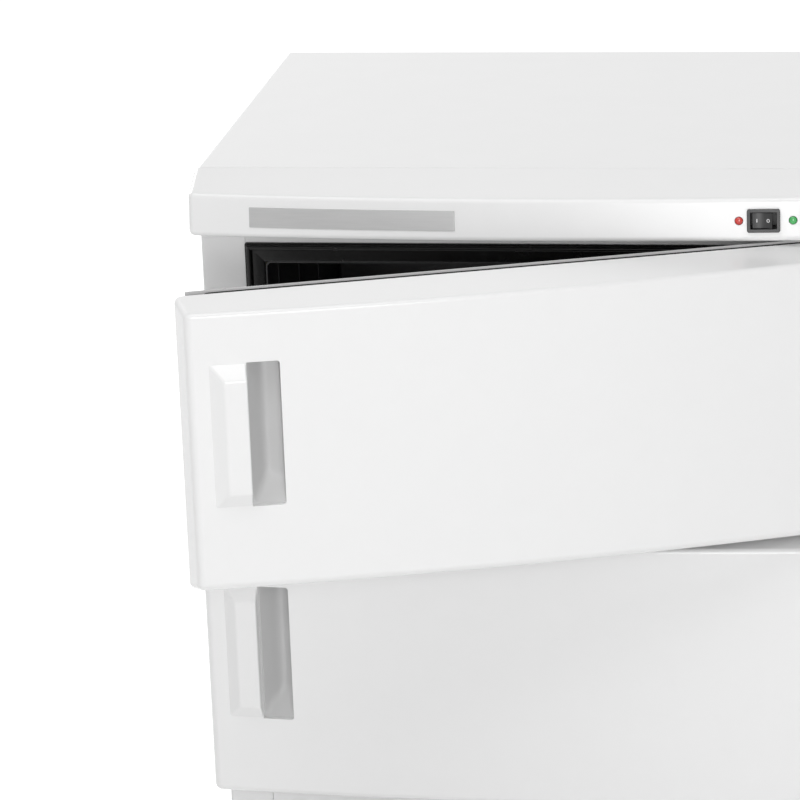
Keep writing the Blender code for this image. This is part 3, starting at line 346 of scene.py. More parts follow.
def add_tint(tree, pattern, colour, spread):
    """Vary a colour by a share of itself along a pattern."""
    ramp = tree.nodes.new("ShaderNodeValToRGB")
    for stop, place, share in zip(ramp.color_ramp.elements, TINT_STOPS, (1.0 - spread, 1.0 + spread)):
        stop.position = place
        stop.color = (*[min(1.0, channel * share) for channel in colour], 1.0)
    tree.links.new(pattern, ramp.inputs["Fac"])
    return ramp.outputs["Color"]


def add_range(tree, pattern, middle, spread):
    """Turn a pattern into a value about a middle."""
    node = tree.nodes.new("ShaderNodeMapRange")
    node.inputs["From Min"].default_value = NOISE_LOW
    node.inputs["From Max"].default_value = NOISE_HIGH
    node.inputs["To Min"].default_value = max(LEAST_ROUGHNESS, middle - spread)
    node.inputs["To Max"].default_value = middle + spread
    tree.links.new(pattern, node.inputs["Value"])
    return node.outputs["Result"]


def add_bump(tree, pattern, depth):
    """Turn a pattern into relief of a depth in metres."""
    bump = tree.nodes.new("ShaderNodeBump")
    bump.inputs["Strength"].default_value = 1.0
    bump.inputs["Distance"].default_value = depth
    tree.links.new(pattern, bump.inputs["Height"])
    return bump.outputs["Normal"]


def make_finish(name, colour, roughness, spread, mottle, grain, relief, stretch=EVEN, cells=False,
                rough_spread=0.05, **sockets):
    """Make a material whose colour, gloss and relief vary over the surface."""
    material = bpy.data.materials.new(name)
    material.use_nodes = True
    tree = material.node_tree
    shader = tree.nodes["Principled BSDF"]
    broad = add_noise(tree, mottle, stretch)
    fine = add_cells(tree, grain) if cells else add_noise(tree, grain, stretch)
    tree.links.new(add_tint(tree, broad, colour, spread), shader.inputs["Base Color"])
    tree.links.new(add_range(tree, broad, roughness, rough_spread), shader.inputs["Roughness"])
    tree.links.new(add_bump(tree, fine, relief), shader.inputs["Normal"])
    for socket, value in sockets.items():
        shader.inputs[socket.replace("_", " ").title().replace("Ior", "IOR")].default_value = value
    return material


FINISH_VALUES = {
    "white_plastic": dict(colour=(0.86, 0.86, 0.86), roughness=0.22, spread=0.003, mottle=60.0,
                          grain=1500.0, relief=0.000004, rough_spread=0.015),
    "white_paint": dict(colour=(0.84, 0.84, 0.84), roughness=0.75, spread=0.004, mottle=40.0,
                        grain=620.0, relief=0.000016, rough_spread=0.02, specular_ior_level=0.3),
    "grey_plastic": dict(colour=(0.50, 0.50, 0.50), roughness=0.48, spread=0.03, mottle=30.0,
                         grain=1100.0, relief=0.00003, cells=True),
    "cup_plastic": dict(colour=(0.54, 0.54, 0.54), roughness=0.48, spread=0.002, mottle=60.0,
                        grain=2600.0, relief=0.000006, cells=True, rough_spread=0.015),
    "plate_grey": dict(colour=(0.46, 0.46, 0.46), roughness=0.42, spread=0.03, mottle=900.0,
                       grain=1400.0, relief=0.000005, stretch=BRUSHED_X, metallic=0.35),
    "black_rubber": dict(colour=(0.002, 0.002, 0.002), roughness=0.25, spread=0.3, mottle=60.0,
                         grain=800.0, relief=0.00001, specular_ior_level=0.28),
    "black_plastic": dict(colour=(0.022, 0.022, 0.023), roughness=0.40, spread=0.15, mottle=40.0,
                          grain=1300.0, relief=0.00002, cells=True),
    "liner_metal": dict(colour=(0.016, 0.016, 0.017), roughness=0.34, spread=0.2, mottle=22.0,
                        grain=420.0, relief=0.00003),
    "steel": dict(colour=(0.56, 0.56, 0.57), roughness=0.30, spread=0.06, mottle=700.0,
                  grain=1500.0, relief=0.000006, stretch=BRUSHED_X, metallic=1.0),
    "aluminium": dict(colour=(0.74, 0.74, 0.75), roughness=0.34, spread=0.05, mottle=500.0,
                      grain=1200.0, relief=0.000006, stretch=BRUSHED_Y, metallic=1.0),
    "insulation": dict(colour=(0.78, 0.72, 0.52), roughness=0.9, spread=0.18, mottle=90.0,
                       grain=500.0, relief=0.0006, stretch=FIBRES),
    "heater_rubber": dict(colour=(0.55, 0.17, 0.09), roughness=0.55, spread=0.08, mottle=50.0,
                          grain=700.0, relief=0.00004, cells=True),
    "lens_red": dict(colour=(0.58, 0.03, 0.02), roughness=0.12, spread=0.1, mottle=300.0,
                     grain=900.0, relief=0.00001, coat_weight=0.5),
    "lens_green": dict(colour=(0.05, 0.42, 0.10), roughness=0.12, spread=0.1, mottle=300.0,
                       grain=900.0, relief=0.00001, coat_weight=0.5),
}
FINISHES = {slot: make_finish(slot, **values) for slot, values in FINISH_VALUES.items()}


# Mesh helpers

def box_builder(low, high, builder=None):
    """Add a box between two corners."""
    low = Vector(low)
    high = Vector(high)
    builder = builder or bmesh.new()
    place = Matrix.Translation((low + high) / 2) @ Matrix.Diagonal((*(high - low), 1.0))
    bmesh.ops.create_cube(builder, size=1.0, matrix=place)
    return builder


def in_plane(plane, across, up, along):
    """Place a point that is given in the XY, XZ or YZ plane and along the third axis."""
    places = dict(zip(plane, (across, up)))
    return tuple(places.get(axis, along) for axis in "XYZ")


def prism_builder(outline, plane, start, end):
    """Extrude an outline given in the XY, XZ or YZ plane along the third axis."""
    builder = bmesh.new()
    corners = [builder.verts.new(in_plane(plane, a, b, start)) for a, b in outline]
    grown = bmesh.ops.extrude_face_region(builder, geom=[builder.faces.new(corners)])
    moved = [item for item in grown["geom"] if isinstance(item, bmesh.types.BMVert)]
    bmesh.ops.translate(builder, vec=in_plane(plane, 0, 0, end - start), verts=moved)
    return builder


def rod_builder(start, end, radius, sides=RING_SIDES, builder=None):
    """Add a closed round bar between two points."""
    start = Vector(start)
    end = Vector(end)
    along = end - start
    turn = Vector((0, 0, 1)).rotation_difference(along).to_matrix().to_4x4()
    builder = builder or bmesh.new()
    bmesh.ops.create_cone(builder, cap_ends=True, segments=sides, radius1=radius, radius2=radius,
                          depth=along.length, matrix=Matrix.Translation((start + end) / 2) @ turn)
    return builder


def turned_builder(profile, steps=RING_SIDES):
    """Turn a closed profile of (radius, height) points that starts and ends on the Z axis."""
    builder = bmesh.new()
    rings = []
    for radius, height in profile:
        count = steps if radius > 0 else 1
        angles = [2 * pi * index / steps for index in range(count)]
        rings.append([builder.verts.new((radius * cos(angle), radius * sin(angle), height))
                      for angle in angles])
    for ring, following in zip(rings, rings[1:]):
        for index in range(steps):
            after = (index + 1) % steps
            corners = [ring[index % len(ring)], ring[after % len(ring)],
                       following[after % len(following)], following[index % len(following)]]
            builder.faces.new(list(dict.fromkeys(corners)))
    return builder


def dome_profile(radius, base, rise):
    """Give the (radius, height) points of a dome from its top to its rim."""
    angles = [step * pi / (2 * DOME_STEPS) for step in range(DOME_STEPS + 1)]
    return [(radius * sin(angle), base + rise * cos(angle)) for angle in angles]


def strip_along(builder, axis, start, end, parts):
    """Cut a bmesh into strips along an axis so that it can follow a curve."""
    direction = Vector([float(index == axis) for index in range(3)])
    for index in range(1, parts):
        geometry = builder.verts[:] + builder.edges[:] + builder.faces[:]
        place = direction * (start + (end - start) * index / parts)
        bmesh.ops.bisect_plane(builder, geom=geometry, plane_co=place, plane_no=direction)


def open_side(builder, axis, value):
    """Remove the faces that lie in the plane where one coordinate has a value."""
    bmesh.ops.recalc_face_normals(builder, faces=builder.faces)
    flat = [face for face in builder.faces if all(abs(v.co[axis] - value) < TOUCH for v in face.verts)]
    bmesh.ops.delete(builder, geom=flat, context="FACES")


def weigh_edges(builder, share_of):
    """Mark each sharp edge with the share of the rounding that it gets."""
    weights = builder.edges.layers.float.new("bevel_weight_edge")
    for edge in builder.edges:
        if len(edge.link_faces) == 2 and edge.calc_face_angle() > radians(SHARP_ANGLE):
            edge[weights] = share_of(edge)


def make_object(name, builder, place):
    """Turn a bmesh into an object of the scene, with its place in its mesh."""
    bmesh.ops.transform(builder, matrix=place, verts=builder.verts)
    bmesh.ops.recalc_face_normals(builder, faces=builder.faces)
    mesh = bpy.data.meshes.new(name)
    builder.to_mesh(mesh)
    builder.free()
    made = bpy.data.objects.new(name, mesh)
    SCENE.collection.objects.link(made)
    return made


def settle(made):
    """Turn an object's modifiers into its mesh."""
    bpy.context.view_layer.update()
    graph = bpy.context.evaluated_depsgraph_get()
    mesh = bpy.data.meshes.new_from_object(made.evaluated_get(graph))
    made.modifiers.clear()
    made.data = mesh


def round_edges(made, width, segments=EDGE_STEPS, angle=EDGE_ANGLE, limit="ANGLE"):
    """Round the edges that turn by more than an angle, or that carry a weight."""
    bevel = made.modifiers.new("round", "BEVEL")
    bevel.width = width
    bevel.segments = segments
    bevel.limit_method = limit
    bevel.angle_limit = radians(angle)
    settle(made)


def give_wall(made, thickness):
    """Give an open surface a wall on its inner side."""
    wall = made.modifiers.new("wall", "SOLIDIFY")
    wall.thickness = thickness
    wall.offset = -1.0
    wall.use_even_offset = True
    settle(made)


def combine(made, builder, place, operation="DIFFERENCE"):
    """Cut a shape out of an object, or add it to the object."""
    tool = make_object("tool", builder, place)
    change = made.modifiers.new("combine", "BOOLEAN")
    change.operation = operation
    change.object = tool
    settle(made)
    bpy.data.objects.remove(tool, do_unlink=True)


def dress(made, slot, body, *nodes, angle=SMOOTH_ANGLE):
    """Smooth a piece, give it its material, and let it ride on a body in place of CAD nodes."""
    made.data.shade_smooth()
    made.data.set_sharp_from_angle(angle=radians(angle))
    weighted = made.modifiers.new("normals", "WEIGHTED_NORMAL")
    weighted.keep_sharp = True
    made.data.materials.clear()
    made.data.materials.append(FINISHES[slot])
    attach(made, body)
    if nodes:
        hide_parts(*nodes)


def rounded_rectangle(half_x, half_z, radius, steps=ROUND_STEPS):
    """Outline a rectangle with rounded corners."""
    points = []
    for quarter, (side_x, side_z) in enumerate(((1, 1), (-1, 1), (-1, -1), (1, -1))):
        for step in range(steps + 1):
            angle = (quarter + step / steps) * pi / 2
            points.append((side_x * (half_x - radius) + radius * cos(angle),
                           side_z * (half_z - radius) + radius * sin(angle)))
    return points


def ring_builder(half_x, half_z, corner, section):
    """Sweep a closed section of (inset, forward) points round an upright rounded rectangle."""
    builder = bmesh.new()
    rings = []
    for inset, forward in section:
        radius = max(corner - inset, corner * LEAST_CORNER)
        outline = rounded_rectangle(half_x - inset, half_z - inset, radius)
        rings.append([builder.verts.new((x, -forward, z)) for x, z in outline])
    count = len(rings[0])
    for ring, following in zip(rings, rings[1:] + rings[:1]):
        for index in range(count):
            after = (index + 1) % count
            builder.faces.new((ring[index], ring[after], following[after], following[index]))
    return builder


def bulge_at(offset, half_width):
    """Give how far a bulged face stands forward of its ends at an offset from its middle."""
    return DOOR_BULGE * (1.0 - (offset / half_width) ** 2)


def bulge_tilt(offset, half_width):
    """Give the angle in plan at which a bulged face lies at an offset from its middle."""
    return atan(2.0 * DOOR_BULGE * offset / half_width ** 2)


# Cabinet

def build_wrapper():
    """Fold the painted sheet of the top, the sides and the stiles."""
    side = [(0, FOOT_HEIGHT), (0, TOP_Z), (BODY_DEPTH, TOP_Z), (BODY_DEPTH, FOOT_HEIGHT)]
    builder = prism_builder(side, "YZ", -HALF_BODY, HALF_BODY)
    open_side(builder, 2, FOOT_HEIGHT)
    open_side(builder, 1, BODY_DEPTH)
    wrapper = make_object("wrapper_sheet", builder, BODY_PLACE)
    round_edges(wrapper, BODY_EDGE_RADIUS, FOLD_STEPS, SHARP_ANGLE)
    give_wall(wrapper, SHEET)
    mouth = box_builder((-HALF_OPENING, -CUT_OVERRUN, 0), (HALF_OPENING, CUT_OVERRUN, FRAME_TOP_Z))
    combine(wrapper, mouth, BODY_PLACE)
    left = HINGE_X - BRACKET_REACH - GAP
    right = HALF_BODY - SHEET - BRACKET_SIDE_CLEARANCE
    for z in BRACKET_LEVELS:
        slot = box_builder((left, -CUT_OVERRUN, z - GAP),
                           (right, SHEET + CUT_OVERRUN, z + BRACKET_THICKNESS + GAP))
        combine(wrapper, slot, BODY_PLACE)
    dress(wrapper, "white_paint", "cabinet", "cabinet_wrapper")


def build_back():
    """Punch the back panel, with a pressed hood over each vent."""
    low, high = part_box("back_panel")
    corner = BODY_EDGE_RADIUS
    outline = [(low.x, low.z), (high.x, low.z), (high.x, high.z - corner), (high.x - corner, high.z),
               (low.x + corner, high.z), (low.x, high.z - corner)]
    back = make_object("back_sheet", prism_builder(outline, "XZ", low.y, high.y), Matrix())
    width, _, height = INLET_BODY
    half_x = width / 2 + GAP
    half_z = height / 2 + GAP
    combine(back, box_builder((INLET_X - half_x, low.y - CUT_OVERRUN, INLET_Z - half_z),
                              (INLET_X + half_x, high.y + CUT_OVERRUN, INLET_Z + half_z)), Matrix())
    hoods = bmesh.new()
    for index in range(VENT_COUNT):
        foot = TOP_Z - VENT_FROM_TOP - index * VENT_PITCH
        combine(back, box_builder((-VENT_WIDTH / 2, low.y - CUT_OVERRUN, foot),
                                  (VENT_WIDTH / 2, high.y + CUT_OVERRUN, foot + VENT_HEIGHT)), Matrix())
        size = Matrix.Diagonal((VENT_WIDTH / 2 + SHEET, HOOD_REACH, HOOD_RISE, 1.0))
        ball = bmesh.ops.create_uvsphere(hoods, u_segments=RING_SIDES, v_segments=WIRE_SIDES, radius=1.0,
                                         matrix=Matrix.Translation((0, 0, foot)) @ size)
        spare = [vertex for vertex in ball["verts"]
                 if vertex.co.z < foot - TOUCH or vertex.co.y < -TOUCH]
        bmesh.ops.delete(hoods, geom=spare, context="VERTS")
    dress(back, "white_paint", "cabinet", "back_panel")
    louvres = make_object("vent_hoods", hoods, Matrix.Translation((0, high.y, 0)))
    give_wall(louvres, HOOD_WALL)
    dress(louvres, "white_paint", "cabinet")


def build_screw(corner):
    """Turn a domed screw with a cross in its head."""
    low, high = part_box("back_screw_" + corner)
    radius = (high.x - low.x) / 2
    middle = ((low.x + high.x) / 2, high.y - SCREW_HEAD_HEIGHT, (low.z + high.z) / 2)
    place = Matrix.Translation(middle) @ Matrix.Rotation(-pi / 2, 4, "X")
    head = dome_profile(radius, SCREW_RIM, SCREW_HEAD_HEIGHT - SCREW_RIM)
    shank = [(radius, 0), (SCREW_SHANK_RADIUS, 0), (SCREW_SHANK_RADIUS, -SCREW_LENGTH), (0, -SCREW_LENGTH)]
    screw = make_object("panel_screw_" + corner, turned_builder(head + shank), place)
    arm, half_slot, depth = SCREW_CROSS
    for turn in (0.0, pi / 2):
        combine(screw, box_builder((-arm, -half_slot, SCREW_HEAD_HEIGHT - depth),
                                   (arm, half_slot, SCREW_HEAD_HEIGHT + depth)),
                place @ Matrix.Rotation(turn, 4, "Z"))
    dress(screw, "steel", "cabinet", "back_screw_" + corner)


def build_foot(corner):
    """Mould a rubber foot with a dimple in its sole."""
    low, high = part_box("foot_" + corner)
    radius = (high.x - low.x) / 2
    sole = radius * FOOT_TAPER
    profile = [(0, FOOT_DIMPLE), (sole / 3, FOOT_DIMPLE), (sole / 2, FOOT_EDGE),
               (sole / 2 + FOOT_EDGE, 0), (sole - FOOT_EDGE, 0), (sole, FOOT_EDGE),
               (radius, high.z - FOOT_EDGE), (radius - FOOT_EDGE, high.z), (0, high.z)]
    place = Matrix.Translation(((low.x + high.x) / 2, (low.y + high.y) / 2, 0))
    foot = make_object("rubber_foot_" + corner, turned_builder(profile), place)
    dress(foot, "black_rubber", "cabinet", "foot_" + corner, angle=SOFT_ANGLE)


def build_inlet():
    """Make the power inlet: a flanged housing, a keyed socket and three contact blades."""
    place = BODY_PLACE @ Matrix.Translation((INLET_X, BODY_DEPTH, INLET_Z))
    width, depth, height = INLET_FLANGE
    rear = GAP + depth
    flange = prism_builder(rounded_rectangle(width / 2, height / 2, INLET_CORNER), "XZ", GAP, rear)
    housing = make_object("inlet_housing", flange, place)
    body_x, body_y, body_z = INLET_BODY
    body = box_builder((-body_x / 2, -body_y, -body_z / 2), (body_x / 2, 2 * GAP, body_z / 2))
    combine(housing, body, place, "UNION")
    half_x = body_x / 2 - INLET_WALL
    half_z = body_z / 2 - INLET_WALL
    floor = INLET_WALL - body_y
    keyed = [(-half_x, -half_z), (half_x, -half_z), (half_x, half_z - INLET_KEY),
             (half_x - INLET_KEY, half_z), (-half_x + INLET_KEY, half_z), (-half_x, half_z - INLET_KEY)]
    combine(housing, prism_builder(keyed, "XZ", floor, rear + depth), place)
    round_edges(housing, FINE_EDGE, FINE_STEPS)
    dress(housing, "black_plastic", "cabinet", "power_inlet")
    blades = bmesh.new()
    pin_x, pin_y, pin_z = INLET_PIN
    for index in (-1, 0, 1):
        x = index * INLET_PIN_SPACING
        box_builder((x - pin_x / 2, floor, -pin_z / 2), (x + pin_x / 2, floor + pin_y, pin_z / 2), blades)
    contacts = make_object("inlet_contacts", blades, place)
    round_edges(contacts, FINE_EDGE, FINE_STEPS)
    dress(contacts, "steel", "cabinet")


def build_lining(level):
    """Press a chamber's dark lining, with upright ribs in its side walls."""
    low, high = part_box(level + "_liner")
    builder = box_builder(low, high)
    open_side(builder, 1, low.y)
    lining = make_object(level + "_chamber_lining", builder, Matrix())
    round_edges(lining, LINER_CORNER, FOLD_STEPS)
    give_wall(lining, LINER_WALL)
    dress(lining, "liner_metal", "cabinet", level + "_liner")
    ribs = bmesh.new()
    for x in (low.x + LINER_WALL, high.x - LINER_WALL):
        for index in range(LINER_RIBS):
            y = low.y + LINER_RIB_FIRST + index * LINER_RIB_STEP
            rod_builder((x, y, low.z + LINER_RIB_MARGIN), (x, y, high.z - LINER_RIB_MARGIN),
                        LINER_RIB_RADIUS, WIRE_SIDES, ribs)
    pressed = make_object(level + "_lining_ribs", ribs, Matrix())
    round_edges(pressed, LINER_RIB_EDGE, angle=ROD_ANGLE)
    dress(pressed, "liner_metal", "cabinet")


def build_rack(level):
    """Weld a rack of round wires under two cross rods."""
    low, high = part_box(level + "_wire_rack")
    wire_z = low.z + RACK_WIRE_RADIUS
    rod_z = high.z - RACK_ROD_RADIUS
    builder = bmesh.new()
    for index in range(RACK_WIRES):
        x = low.x + (high.x - low.x) * (index + 0.5) / RACK_WIRES
        rod_builder((x, low.y, wire_z), (x, high.y, wire_z), RACK_WIRE_RADIUS, WIRE_SIDES, builder)
    for y in (low.y + RACK_ROD_INSET, high.y - RACK_ROD_INSET):
        rod_builder((low.x, y, rod_z), (high.x, y, rod_z), RACK_ROD_RADIUS, WIRE_SIDES, builder)
    rack = make_object(level + "_towel_rack", builder, Matrix())
    round_edges(rack, RACK_WIRE_EDGE, angle=ROD_ANGLE)
    dress(rack, "steel", "cabinet", level + "_wire_rack")


def build_tray(level):
    """Press a drip tray with a rolled rim."""
    low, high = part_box(level + "_drip_tray")
    builder = box_builder(low, high)
    open_side(builder, 2, high.z)
    tray = make_object(level + "_tray_pan", builder, Matrix())
    round_edges(tray, TRAY_EDGE, SOFT_STEPS)
    give_wall(tray, TRAY_WALL)
    dress(tray, "aluminium", "cabinet", level + "_drip_tray")
    section = []
    for step in range(WIRE_SIDES):
        angle = 2 * pi * step / WIRE_SIDES
        section.append((TRAY_BEAD - TRAY_BEAD * cos(angle), TRAY_BEAD * sin(angle)))
    bead = ring_builder((high.x - low.x) / 2, (high.y - low.y) / 2, TRAY_CORNER, section)
    middle = ((low.x + high.x) / 2, (low.y + high.y) / 2, high.z - TRAY_BEAD)
    place = Matrix.Translation(middle) @ Matrix.Rotation(pi / 2, 4, "X")
    rim = make_object(level + "_tray_rim", bead, place)
    dress(rim, "aluminium", "cabinet", angle=SOFT_ANGLE)


def build_catch(level):
    """Make a magnet catch, two steel poles in a plastic case, and its strike plate on the door."""
    low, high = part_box(level + "_magnet_catch")
    block = box_builder((low.x, low.y + CATCH_SETBACK, low.z), high)
    case = make_object(level + "_catch_case", block, Matrix())
    round_edges(case, SMALL_EDGE)
    dress(case, "black_plastic", "cabinet", level + "_magnet_catch")
    middle = (low.x + high.x) / 2
    bars = bmesh.new()
    for offset in CATCH_POLES:
        x = middle + offset
        box_builder((x - CATCH_POLE, low.y, low.z + CATCH_POLE),
                    (x + CATCH_POLE, high.y, high.z - CATCH_POLE), bars)
    poles = make_object(level + "_catch_poles", bars, Matrix())
    round_edges(poles, FINE_EDGE / 2, FINE_STEPS)
    dress(poles, "steel", "cabinet")

    width, _, height = CATCH_SIZE
    seat = DOOR_REAR + GAP
    strike_x = CATCH_FROM_SIDE - HALF_BODY - HINGE_X
    place = door_place(level) @ Matrix.Translation((strike_x, 0, DOOR_HEIGHT / 2))
    outline = rounded_rectangle(width / 2, height / 2, STRIKE_CORNER)
    sheet = prism_builder(outline, "XZ", seat, seat + STRIKE_THICKNESS)
    strike = make_object(level + "_strike_sheet", sheet, place)
    for z in (-STRIKE_HOLE_SPACING, STRIKE_HOLE_SPACING):
        hole = rod_builder((0, seat - CUT_OVERRUN, z), (0, seat + CUT_OVERRUN, z), STRIKE_HOLE)
        combine(strike, hole, place)
    dress(strike, "steel", level + "_door", level + "_strike_plate")


def fascia_front(x):
    """Give the Y of the middle of the fascia's front face at an X."""
    return -FASCIA_PROUD + FASCIA_LEAN / 2 - bulge_at(x, FASCIA_WIDTH / 2)


def face_place(x):
    """Give the place of a fitting on the middle of the fascia's front face."""
    tilt = Matrix.Rotation(bulge_tilt(x, FASCIA_WIDTH / 2), 4, "Z")
    lean = Matrix.Rotation(-atan(FASCIA_LEAN / FASCIA_FACE), 4, "X")
    middle = Matrix.Translation((x, fascia_front(x), FASCIA_Z + FASCIA_FACE / 2))
    return BODY_PLACE @ middle @ tilt @ lean


def build_fascia():
    """Mould the fascia over the doors, cut for its switches and lamps."""
    half = FASCIA_WIDTH / 2
    crest_z = FASCIA_Z + FASCIA_FACE
    crest_y = -FASCIA_PROUD + FASCIA_LEAN
    rear = CUT_OVERRUN
    rear_z = crest_z + FASCIA_SLOPE_RISE * (rear - crest_y) / (-GAP - crest_y)
    section = [(rear, FASCIA_Z), (-FASCIA_PROUD, FASCIA_Z), (crest_y, crest_z), (rear, rear_z)]
    builder = prism_builder(section, "YZ", -half, half)
    strip_along(builder, 0, -half, half, DOOR_STRIPS)
    open_side(builder, 1, rear)

    def share_of(edge):
        """Give the crest a smaller radius than the other edges."""
        at_crest = all(abs(vertex.co.z - crest_z) < TOUCH for vertex in edge.verts)
        return FASCIA_CREST_SHARE if at_crest else 1.0

    weigh_edges(builder, share_of)
    for vertex in builder.verts:
        if vertex.co.y < -FASCIA_PROUD / 2:
            vertex.co.y -= bulge_at(vertex.co.x, half)
    fascia = make_object("fascia_moulding", builder, BODY_PLACE)
    round_edges(fascia, FASCIA_EDGE_RADIUS, ROUND_STEPS, limit="WEIGHT")
    give_wall(fascia, FASCIA_WALL)
    combine(fascia, box_builder((-FASCIA_WIDTH, -GAP, FASCIA_Z - CUT_OVERRUN),
                                (FASCIA_WIDTH, 2 * rear, rear_z + CUT_OVERRUN)), BODY_PLACE)
    inside = FASCIA_WALL + CUT_OVERRUN
    body_x = SWITCH_WIDTH / 2 - SWITCH_BEZEL + GAP
    body_z = SWITCH_HEIGHT / 2 - SWITCH_BEZEL + GAP
    for level, from_end in SWITCH_FROM_END.items():
        switch_place = face_place(half - from_end)
        lens_place = face_place(half - from_end - LENS_FROM_SWITCH)
        opening = box_builder((-body_x, -CUT_OVERRUN, -body_z), (body_x, inside, body_z))
        combine(fascia, opening, switch_place)
        bore = rod_builder((0, -CUT_OVERRUN, 0), (0, inside, 0), LENS_RADIUS + GAP)
        combine(fascia, bore, lens_place)
        build_switch(level, switch_place)
        build_lens(level, lens_place)
    dress(fascia, "white_plastic", "cabinet", "top_fascia")


def build_switch(level, place):
    """Make a rocker switch: a bezelled housing and a hollowed key with its two marks."""
    half_x = SWITCH_WIDTH / 2
    half_z = SWITCH_HEIGHT / 2
    outline = rounded_rectangle(half_x, half_z, SWITCH_BEZEL)
    bezel = prism_builder(outline, "XZ", -SWITCH_BEZEL - GAP, -GAP)
    housing = make_object(level + "_switch_frame", bezel, place)
    body = box_builder((-half_x + SWITCH_BEZEL, -SWITCH_BEZEL / 2, -half_z + SWITCH_BEZEL),
                       (half_x - SWITCH_BEZEL, SWITCH_BODY_DEPTH, half_z - SWITCH_BEZEL))
    combine(housing, body, place, "UNION")
    well_x = half_x - SWITCH_FRAME
    well_z = half_z - SWITCH_FRAME
    combine(housing, box_builder((-well_x, -CUT_OVERRUN, -well_z),
                                 (well_x, SWITCH_BODY_DEPTH - SWITCH_BEZEL, well_z)), place)
    round_edges(housing, FINE_EDGE, FINE_STEPS)
    dress(housing, "black_plastic", "cabinet", level + "_switch_housing")

    key_half = well_x - GAP - ROCKER_PIVOT_DEPTH / 2
    proud = ROCKER_PIVOT_DEPTH + SWITCH_BEZEL

    def key_front(share):
        """Give the Y of the key's hollowed front at a share of its half length."""
        return -proud * (ROCKER_DIP + (1.0 - ROCKER_DIP) * share * share)

    shares = [2.0 * index / KEY_STEPS - 1.0 for index in range(KEY_STEPS + 1)]
    outline = [(key_half * share, key_front(share)) for share in shares]
    outline += [(key_half * ROCKER_TAPER, ROCKER_PIVOT_DEPTH), (0, SWITCH_BODY_DEPTH / 2),
                (-key_half * ROCKER_TAPER, ROCKER_PIVOT_DEPTH)]
    pivot = place @ Matrix.Translation((0, ROCKER_PIVOT_DEPTH, 0))
    key_place = pivot @ Matrix.Rotation(-ROCKER_TILT, 4, "Z")
    block = prism_builder(outline, "XY", -well_z + GAP, well_z - GAP)
    key = make_object(level + "_switch_key", block, key_place)
    round_edges(key, FINE_EDGE, FINE_STEPS, KEY_ANGLE)
    dress(key, "black_plastic", level + "_rocker", level + "_switch_rocker")

    slope = atan(2.0 * proud * (1.0 - ROCKER_DIP) * MARK_PLACE / key_half)
    line = MARK_LINE / 2
    bar = box_builder((-line, -MARK_RISE, -MARK_HEIGHT), (line, MARK_RISE, MARK_HEIGHT))
    section = [(0, -MARK_RISE), (0, MARK_RISE), (MARK_LINE, MARK_RISE), (MARK_LINE, -MARK_RISE)]
    loop = ring_builder(MARK_HEIGHT, MARK_HEIGHT, MARK_HEIGHT, section)
    for name, builder, side in (("on", bar, -1.0), ("off", loop, 1.0)):
        seat = Matrix.Translation((side * MARK_PLACE * key_half, key_front(MARK_PLACE), 0))
        mark = make_object(level + "_switch_" + name + "_mark", builder,
                           key_place @ seat @ Matrix.Rotation(-side * slope, 4, "Z"))
        dress(mark, "white_plastic", level + "_rocker")


def build_lens(level, place):
    """Turn the domed lens of an indicator lamp."""
    dome = dome_profile(LENS_RADIUS, 0, LENS_DOME)
    builder = turned_builder(dome + [(LENS_RADIUS, -LENS_LENGTH), (0, -LENS_LENGTH)])
    lens = make_object(level + "_lamp_lens", builder, place @ Matrix.Rotation(pi / 2, 4, "X"))
    slot = "lens_red" if level == "upper" else "lens_green"
    dress(lens, slot, "cabinet", level + "_indicator_lens")


def build_nameplate():
    """Lay the bare, brushed nameplate along the fascia's curve."""
    left = -FASCIA_WIDTH / 2 + NAMEPLATE_FROM_END
    right = left + NAMEPLATE_WIDTH
    top = FASCIA_FACE - NAMEPLATE_DROP
    builder = box_builder((left, 0, top - NAMEPLATE_HEIGHT), (right, NAMEPLATE_THICKNESS, top))
    strip_along(builder, 0, left, right, DOOR_STRIPS // 2)
    for vertex in builder.verts:
        lean = (vertex.co.z - FASCIA_FACE / 2) * FASCIA_LEAN / FASCIA_FACE
        vertex.co.y += fascia_front(vertex.co.x) + lean - NAMEPLATE_THICKNESS - SEAT
        vertex.co.z += FASCIA_Z
    plate = make_object("fascia_plate", builder, BODY_PLACE)
    round_edges(plate, NAMEPLATE_THICKNESS / 3, FINE_STEPS)
    dress(plate, "plate_grey", "cabinet", "nameplate")


def build_gasket(level, door_z):
    """Sweep the rubber seal, a flat lip with a bead near its outer edge, round a chamber's mouth."""
    section = [(0, 0), (0, GASKET_BASE)]
    half = GASKET_BEAD / 2
    for step in range(BEAD_STEPS + 1):
        angle = pi * step / BEAD_STEPS
        section.append((GASKET_LEDGE + half - half * cos(angle),
                        GASKET_BASE + (GASKET_HEIGHT - GASKET_BASE) * sin(angle)))
    section += [(GASKET_WIDTH - SHEET, GASKET_BASE), (GASKET_WIDTH, SHEET / 2), (GASKET_WIDTH, 0)]
    builder = ring_builder(HALF_OPENING, DOOR_HEIGHT / 2 - GASKET_FROM_DOOR_TOP, GASKET_CORNER, section)
    place = BODY_PLACE @ Matrix.Translation((0, -SEAT, door_z + DOOR_HEIGHT / 2))
    gasket = make_object(level + "_door_seal", builder, place)
    dress(gasket, "black_rubber", "cabinet", level + "_gasket", angle=SOFT_ANGLE)


# Doors

def door_place(level):
    """Give the place of a door's hinge at rest."""
    turn = DOOR_AJAR if level == "upper" else 0.0
    return Matrix.Translation(JOINTS[level + "_door_hinge"]["pos_m"]) @ Matrix.Rotation(turn, 4, "Z")


def door_face(x):
    """Give the Y of a door's front face at an X in the door's frame."""
    return DOOR_FRONT - bulge_at(x - DOOR_MIDDLE, DOOR_WIDTH / 2)


